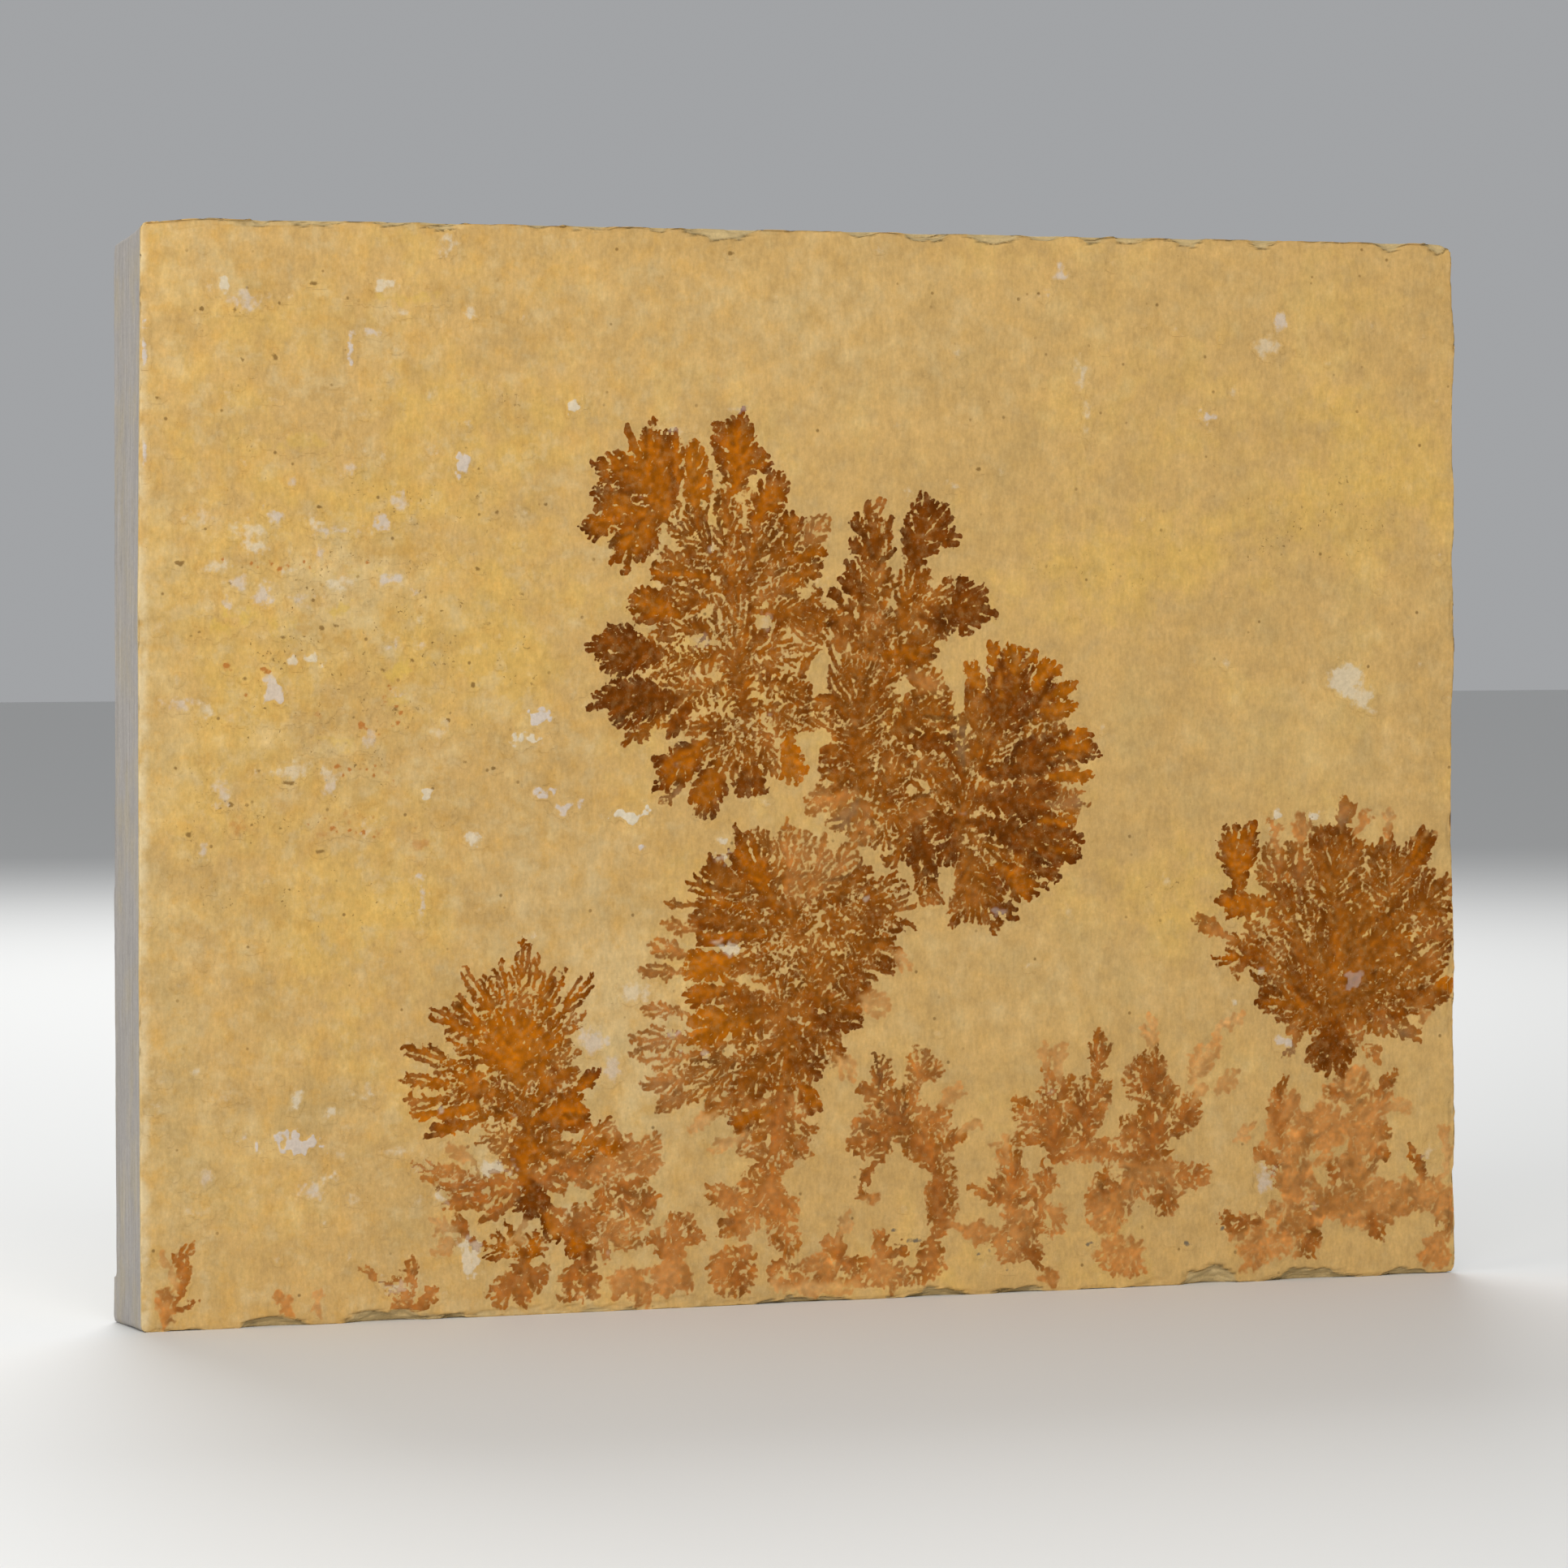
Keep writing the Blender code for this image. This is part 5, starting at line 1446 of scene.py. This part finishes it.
# Where the skin turns from calm to lively along X, how deep behind the front the grey rock starts, and where
# along Y the back has its own skin, all in mm.
CALM_FROM = 30
LIVELY_FROM = -80
ROCK_FROM = 2.8
BACK_SKIN_FROM = 7.2


class Graph:
    """Short words for adding and joining shader nodes."""

    def __init__(self, tree):
        self.tree = tree
        tree.nodes.clear()

    def node(self, kind, inputs=None, **settings):
        node = self.tree.nodes.new(kind)
        for name, value in settings.items():
            setattr(node, name, value)
        for name, value in (inputs or {}).items():
            if isinstance(value, bpy.types.NodeSocket):
                self.tree.links.new(value, node.inputs[name])
            else:
                node.inputs[name].default_value = value
        return node

    def maths(self, operation, first, second=0.0, third=0.0):
        node = self.node("ShaderNodeMath", {0: first, 1: second, 2: third}, operation=operation)
        return node.outputs[0]

    def times(self, first, second):
        return self.maths("MULTIPLY", first, second)

    def swayed(self, base, noise, amount):
        """The base with that much of a noise round a half added to it."""
        return self.maths("MULTIPLY_ADD", self.maths("SUBTRACT", noise, 0.5), amount, base)

    def rise(self, value, low, high, top=1.0):
        """0 below low, top above high, smooth between."""
        inputs = {"Value": value, "From Min": low, "From Max": high, "To Min": 0.0, "To Max": top}
        return self.node("ShaderNodeMapRange", inputs, interpolation_type="SMOOTHSTEP").outputs[0]

    def mix(self, share, first, second):
        """From the first colour to the second. Plain colours are sRGB triples."""
        node = self.node("ShaderNodeMix", {0: share}, data_type="RGBA")
        for socket, colour in ((node.inputs[6], first), (node.inputs[7], second)):
            if isinstance(colour, bpy.types.NodeSocket):
                self.tree.links.new(colour, socket)
            else:
                socket.default_value = (*linear(colour), 1.0)
        return node.outputs[2]

    def scaled(self, vector, factors):
        node = self.node("ShaderNodeVectorMath", {0: vector, 1: factors}, operation="MULTIPLY")
        return node.outputs[0]

    def noise(self, place, size, detail=3.0, roughness=0.5):
        """Noise from 0 to 1 with patches of about that size in mm."""
        inputs = {"Vector": place, "Scale": 1 / size, "Detail": detail, "Roughness": roughness}
        return self.node("ShaderNodeTexNoise", inputs).outputs["Fac"]

    def spots(self, place, cell, low, high):
        """1 at the middle of scattered spots and 0 beyond the high radius, as a share of the cell."""
        cells = self.node("ShaderNodeTexVoronoi", {"Vector": place, "Scale": 1 / cell}).outputs["Distance"]
        return self.maths("SUBTRACT", 1.0, self.rise(cells, low, high))

    def brighten(self, colour, value, low, high):
        """Scales the colour from low to high as the value goes from 0.3 to 0.7."""
        factor = self.node("ShaderNodeMapRange", {0: value, 1: 0.3, 2: 0.7, 3: low, 4: high}).outputs[0]
        node = self.node("ShaderNodeVectorMath", {0: colour, "Scale": factor}, operation="SCALE")
        return node.outputs[0]

    def attribute(self, name, output="Fac"):
        return self.node("ShaderNodeAttribute", attribute_name=name).outputs[output]


def weathered_skin(graph, place, mottle, gold, pale, dull):
    """Ochre skin in broad gold, pale and dull tones, flecked and clouded, most lively on the left."""
    patch = graph.noise(place, 22, 4, 0.6)
    golden = graph.swayed(graph.swayed(gold, patch, 3.0), mottle, 1.2)
    colour = graph.mix(graph.rise(golden, 0.0, 1.2, 0.75), TAN, GOLD)
    paled = graph.swayed(pale, mottle, 2.2)
    colour = graph.mix(graph.rise(paled, 0.1, 1.1, 0.75), colour, PALE)
    dulled = graph.swayed(dull, graph.noise(place, 13, 4), 2.0)
    colour = graph.mix(graph.rise(dulled, 0.1, 0.9, 0.7), colour, DULL)

    across = graph.node("ShaderNodeSeparateXYZ", {0: place}).outputs[0]
    lively = graph.rise(across, CALM_FROM, LIVELY_FROM)
    fleck = graph.noise(place, 5.0, 5, 0.6)
    share = graph.maths("MULTIPLY_ADD", lively, 0.32, 0.18)
    colour = graph.mix(graph.times(graph.rise(fleck, 0.50, 0.66), share), colour, AMBER)
    colour = graph.mix(graph.times(graph.rise(fleck, 0.48, 0.34), share), colour, PALE)
    weave = graph.noise(graph.scaled(place, (1.0, 1.0, 0.4)), 0.8, 4, 0.6)
    small, large = graph.noise(place, 3.4, 3), graph.noise(place, 10, 3)
    for layer, swing in ((patch, 0.05), (small, 0.07), (large, 0.08), (weave, 0.09)):
        colour = graph.brighten(colour, layer, 1 - swing, 1 + swing)
    cloud = graph.noise(graph.scaled(place, (1.0, 1.0, 1.3)), 8, 6, 0.64)
    chalky = graph.maths("MULTIPLY_ADD", lively, 0.32, 0.08)
    return graph.mix(graph.times(graph.rise(cloud, 0.53, 0.72), chalky), colour, HAZE)


def dark_specks(graph, place, gold):
    """1 in the scattered dark specks and, in the golden crust, in its pores."""
    few = graph.rise(graph.noise(place, 9, 2), 0.40, 0.56)
    dots = graph.rise(graph.noise(place, 0.9, 3, 0.7), 0.70, 0.76, 0.6)
    specks = graph.times(graph.maths("MAXIMUM", graph.spots(place, 5.0, 0.04, 0.10), dots), few)
    pores = graph.rise(graph.noise(place, 0.8, 3, 0.6), 0.63, 0.70)
    pores = graph.times(pores, graph.rise(gold, 0.3, 0.8))
    pores = graph.times(pores, graph.rise(graph.noise(place, 4, 3), 0.50, 0.58))
    return graph.maths("MAXIMUM", specks, pores)


def layered_rock(graph, place, stain):
    """Grey rock in thin beds, as the sawn and broken edges show it."""
    layers = graph.noise(graph.scaled(place, (0.03, 1.0, 0.03)), 0.6, 4, 0.7)
    streaks = graph.noise(graph.scaled(place, (1.0, 1.0, 0.2)), 1.2, 5, 0.7)
    rock = graph.mix(graph.rise(stain, 0.42, 0.7, 0.7), GREY, GREY_WARM)
    return graph.brighten(graph.brighten(rock, layers, 0.84, 1.12), streaks, 0.92, 1.08)


def chip_colour(graph, place, mottle, grain):
    """Cream rock laid bare in the chips of the front, with dark seams."""
    bed = graph.noise(graph.scaled(place, (0.08, 1.0, 0.08)), 0.7, 3, 0.6)
    chip = graph.mix(graph.rise(graph.maths("MULTIPLY_ADD", mottle, 0.5, bed), 0.6, 0.9), CHIP, OLIVE)
    seam = graph.times(graph.rise(bed, 0.62, 0.70), graph.rise(mottle, 0.40, 0.55, 0.6))
    return graph.mix(seam, graph.brighten(chip, grain, 0.92, 1.08), DARK_SEAM_AND_SCARP_SHADE)


def back_colour(graph, place, mottle, stain):
    """Dull mottled skin of the cleft back."""
    broad = graph.maths("MULTIPLY_ADD", graph.noise(place, 30, 4, 0.6), 0.9, graph.times(mottle, 0.35))
    back = graph.mix(graph.rise(broad, 0.45, 0.85), BACK_SKIN, BACK_PALE)
    back = graph.brighten(back, stain, 0.92, 1.07)
    return graph.mix(graph.rise(graph.noise(place, 2.2, 5, 0.7), 0.60, 0.70, 0.35), back, OLIVE)


def rock_below_skin(graph, place, skin, mottle, grain):
    """The skin's colour at the front face, cream in its chips with painted shade on their steep walls, grey
    laminated rock behind it and a dull skin at the back."""
    across, along_y, up = graph.node("ShaderNodeSeparateXYZ", {0: place}).outputs
    depth = graph.maths("SUBTRACT", along_y, FRONT_Y)
    stain = graph.noise(graph.scaled(place, (0.5, 1.0, 0.5)), 7, 4, 0.6)
    chipped = graph.rise(graph.maths("MULTIPLY_ADD", mottle, 0.5, depth), 0.5, 0.9, 0.8)
    colour = graph.mix(chipped, skin, chip_colour(graph, place, mottle, grain))

    aside = graph.rise(graph.maths("ABSOLUTE", across), HALF_WIDTH - 2.4, HALF_WIDTH - 1.2)
    side = graph.times(aside, graph.rise(depth, 0.3, 1.1, ROCK_FROM - 0.2))
    ragged = graph.swayed(graph.maths("ADD", depth, side), mottle, 1.6)
    rock = layered_rock(graph, place, stain)
    colour = graph.mix(graph.rise(ragged, ROCK_FROM, ROCK_FROM + 0.6), colour, rock)
    # Painted shade: a dark line on the steep walls round the chips.
    painted_scarp_shade = graph.times(graph.attribute("scarp_shade"), graph.rise(grain, 0.3, 0.55, 0.8))
    colour = graph.mix(painted_scarp_shade, colour, DARK_SEAM_AND_SCARP_SHADE)

    from_middle = graph.maths("ABSOLUTE", graph.maths("SUBTRACT", up, HEIGHT / 2))
    inner = graph.rise(from_middle, HEIGHT / 2 - 2, HEIGHT / 2 - 7, 3.5)
    behind = graph.maths("ADD", graph.swayed(along_y, stain, 3.0), inner)
    behind = graph.rise(behind, BACK_SKIN_FROM, BACK_SKIN_FROM + 1.2)
    behind = graph.times(behind, graph.maths("SUBTRACT", 1.0, aside))
    colour = graph.mix(behind, colour, back_colour(graph, place, mottle, stain))
    return graph.brighten(colour, grain, 0.94, 1.06)


def stone_colour(graph, place):
    """Colour of the limestone at a place in mm, with its grain, mottle and dark specks for the relief."""
    tint = graph.attribute("tint", "Color")
    gold, pale, dull = graph.node("ShaderNodeSeparateColor", {0: tint}).outputs
    mottle = graph.noise(place, 5.5, 6, 0.56)
    grain = graph.noise(place, 0.75, 3, 0.6)
    dark = dark_specks(graph, place, gold)
    skin = weathered_skin(graph, place, mottle, gold, pale, dull)
    bruised = graph.times(graph.attribute("tint", "Alpha"), graph.rise(mottle, 0.35, 0.6, 0.65))
    skin = graph.mix(bruised, skin, CREAM)
    skin = graph.mix(graph.times(dark, 0.75), skin, SPECK)
    return rock_below_skin(graph, place, skin, mottle, grain), grain, mottle, dark


STONE_ROUGHNESS = 0.82
FILM_ROUGHNESS = 0.62
# Size of the little teeth along a film's edge, in mm.
TEETH = 0.75


def stone_bump(graph, grain, mottle, dark):
    """Fine surface grain with the dark pores sunk in it."""
    height = graph.maths("MULTIPLY_ADD", mottle, 0.6, grain)
    height = graph.maths("MULTIPLY_ADD", dark, -0.8, height)
    return graph.node("ShaderNodeBump", {"Strength": 0.7, "Distance": 0.12 * MM, "Height": height}).outputs[0]


def new_material(name):
    material = bpy.data.materials.new(name)
    material.use_nodes = True
    return material, Graph(material.node_tree)


def add_surface(graph, colour, roughness, normal):
    inputs = {"Base Color": colour, "Roughness": roughness, "Normal": normal, "Specular IOR Level": 0.04}
    shader = graph.node("ShaderNodeBsdfPrincipled", inputs)
    graph.node("ShaderNodeOutputMaterial", {"Surface": shader.outputs[0]})


def object_place(graph):
    """The point in the row frame, in mm."""
    return graph.scaled(graph.node("ShaderNodeTexCoord").outputs["Object"], (1000, 1000, 1000))


def stone_material():
    material, graph = new_material("limestone")
    colour, grain, mottle, dark = stone_colour(graph, object_place(graph))
    add_surface(graph, colour, STONE_ROUGHNESS, stone_bump(graph, grain, mottle, dark))
    return material


def covered_material(name, cover_of, roughness):
    """The stone under something thin. Cover_of gives how much of the stone it hides, and its colour."""
    material, graph = new_material(name)
    place = object_place(graph)
    stone, grain, mottle, dark = stone_colour(graph, place)
    cover, pigment = cover_of(graph, place, grain, mottle)
    gloss = graph.maths("MULTIPLY_ADD", cover, roughness - STONE_ROUGHNESS, STONE_ROUGHNESS)
    normal = stone_bump(graph, grain, mottle, dark)
    add_surface(graph, graph.mix(cover, stone, pigment), gloss, normal)
    return material


def film_cover(graph, place, grain, mottle):
    """Mineral film where the field is above zero, with a toothed edge that fades as far as it is told."""
    ragged = graph.swayed(graph.attribute("field"), grain, 0.35)
    teeth = graph.node("ShaderNodeTexVoronoi", {"Vector": place, "Scale": 1 / TEETH}).outputs["Distance"]
    ragged = graph.maths("MULTIPLY_ADD", graph.maths("SUBTRACT", 0.42, teeth), 0.3, ragged)
    blotch = graph.noise(place, 1.5, 5, 0.7)
    strength = graph.maths("MULTIPLY_ADD", graph.rise(blotch, 0.3, 0.55), 0.2, 0.8)
    strength = graph.times(strength, graph.attribute("strength"))
    cover = graph.times(graph.rise(ragged, graph.times(graph.attribute("fade"), -1.0), 0.09), strength)
    pigment = graph.brighten(graph.attribute("pigment", "Color"), grain, 0.82, 1.18)
    pigment = graph.brighten(pigment, blotch, 1.16, 0.86)
    bloom = graph.noise(place, 1.3, 4, 0.7)
    pigment = graph.mix(graph.rise(bloom, 0.56, 0.74, 0.35), pigment, BLOOM)
    return cover, graph.brighten(pigment, mottle, 0.92, 1.08)


def flake_cover(graph, place, grain, mottle):
    """Pale crust, stain or speck: crisp where strong, and soft and broken up where faint."""
    strength = graph.attribute("strength")
    crisp = graph.rise(strength, CRISP_FROM, CRISP_AT)
    weight = graph.maths("MULTIPLY_ADD", crisp, 0.40, 0.15)
    crumbs = graph.noise(place, 1.9, 6, 0.75)
    broken = graph.maths("MULTIPLY_ADD", graph.attribute("field"), weight, crumbs)
    cover = graph.rise(broken, 0.46, graph.maths("MULTIPLY_ADD", crisp, -0.10, 0.78))
    pigment = graph.brighten(graph.attribute("pigment", "Color"), grain, 0.90, 1.10)
    return graph.times(cover, strength), pigment


def plain_material(name, colour, roughness):
    material, graph = new_material(name)
    inputs = {"Base Color": (*linear(colour), 1.0), "Roughness": roughness}
    shader = graph.node("ShaderNodeBsdfPrincipled", inputs)
    graph.node("ShaderNodeOutputMaterial", {"Surface": shader.outputs[0]})
    return material


# Lights: name, place in m, size in m, power in W and colour. They aim at the middle of the slab.
LIGHTS = (
    ("key", (-0.45, -1.3, 1.0), 1.0, 13.5, (1.0, 0.98, 0.94)),
    ("fill", (-1.3, -0.4, 0.6), 1.0, 6, (0.97, 0.98, 1.0)),
    ("rim", (0.3, 1.3, 1.1), 1.0, 16, (1, 1, 1)),
)
LIGHTS_AIM = (0, 0, 0.11)
SKY = (0.95, 0.97, 1.0, 1.0)
SKY_STRENGTH = 0.38
FLOOR_REACH = 6.0

# Camera as solved from the slab's outline in the photograph: place in mm of the front view and its depth,
# turn from straight ahead towards +X, tilt, and focal length for a 36 mm sensor.
CAMERA_PLACE = (-525.0, -1268.6, 155.6)
CAMERA_TURN = 22.13
CAMERA_TILT = -1.91
CAMERA_LENS = 149.07


def build_camera():
    data = bpy.data.cameras.new("camera")
    data.sensor_width = 36
    data.lens = CAMERA_LENS
    data.clip_start = 0.05
    data.clip_end = 50
    camera = bpy.data.objects.new("camera", data)
    x, y, z = CAMERA_PLACE
    camera.location = Vector((x + VIEW_SHIFT_X, y + VIEW_SHIFT_Y, z)) * MM
    camera.rotation_euler = (math.radians(90 + CAMERA_TILT), 0, math.radians(-CAMERA_TURN))
    bpy.context.scene.collection.objects.link(camera)
    bpy.context.scene.camera = camera


def area_light(name, place, size, power, colour):
    data = bpy.data.lights.new(name, "AREA")
    data.shape = "SQUARE"
    data.size = size
    data.energy = power
    data.color = colour
    light = bpy.data.objects.new(name, data)
    light.location = place
    light.rotation_euler = (Vector(LIGHTS_AIM) - Vector(place)).to_track_quat("-Z", "Y").to_euler()
    bpy.context.scene.collection.objects.link(light)


def build_studio():
    corners = [(x * FLOOR_REACH, y * FLOOR_REACH, 0) for x, y in ((-1, -1), (1, -1), (1, 1), (-1, 1))]
    floor = mesh_object("floor", np.array(corners) / MM, [(0, 1, 2, 3)])
    floor.data.materials.append(plain_material("floor", (222, 222, 220), 0.6))
    world = bpy.data.worlds.new("studio")
    world.use_nodes = True
    background = world.node_tree.nodes["Background"]
    background.inputs["Color"].default_value = SKY
    background.inputs["Strength"].default_value = SKY_STRENGTH
    bpy.context.scene.world = world
    for light in LIGHTS:
        area_light(*light)
    bpy.context.scene.view_settings.view_transform = "Standard"


def main():
    slab = build_slab()
    slab.data.materials.append(stone_material())
    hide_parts(SLAB_NODE)
    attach(slab, "root")
    tree = BVHTree.FromObject(slab, bpy.context.evaluated_depsgraph_get())
    rng = np.random.default_rng(SEED + 40)
    face = Face(Twigs(grown_net()), rng)
    marks = Marks(face)
    mineral = covered_material("dendrites", film_cover, FILM_ROUGHNESS)
    film = build_dendrites(tree, mineral, face, marks, rng)
    crust = covered_material("flakes", flake_cover, STONE_ROUGHNESS)
    build_flakes(tree, crust, face, marks, film)
    build_camera()
    build_studio()


main()
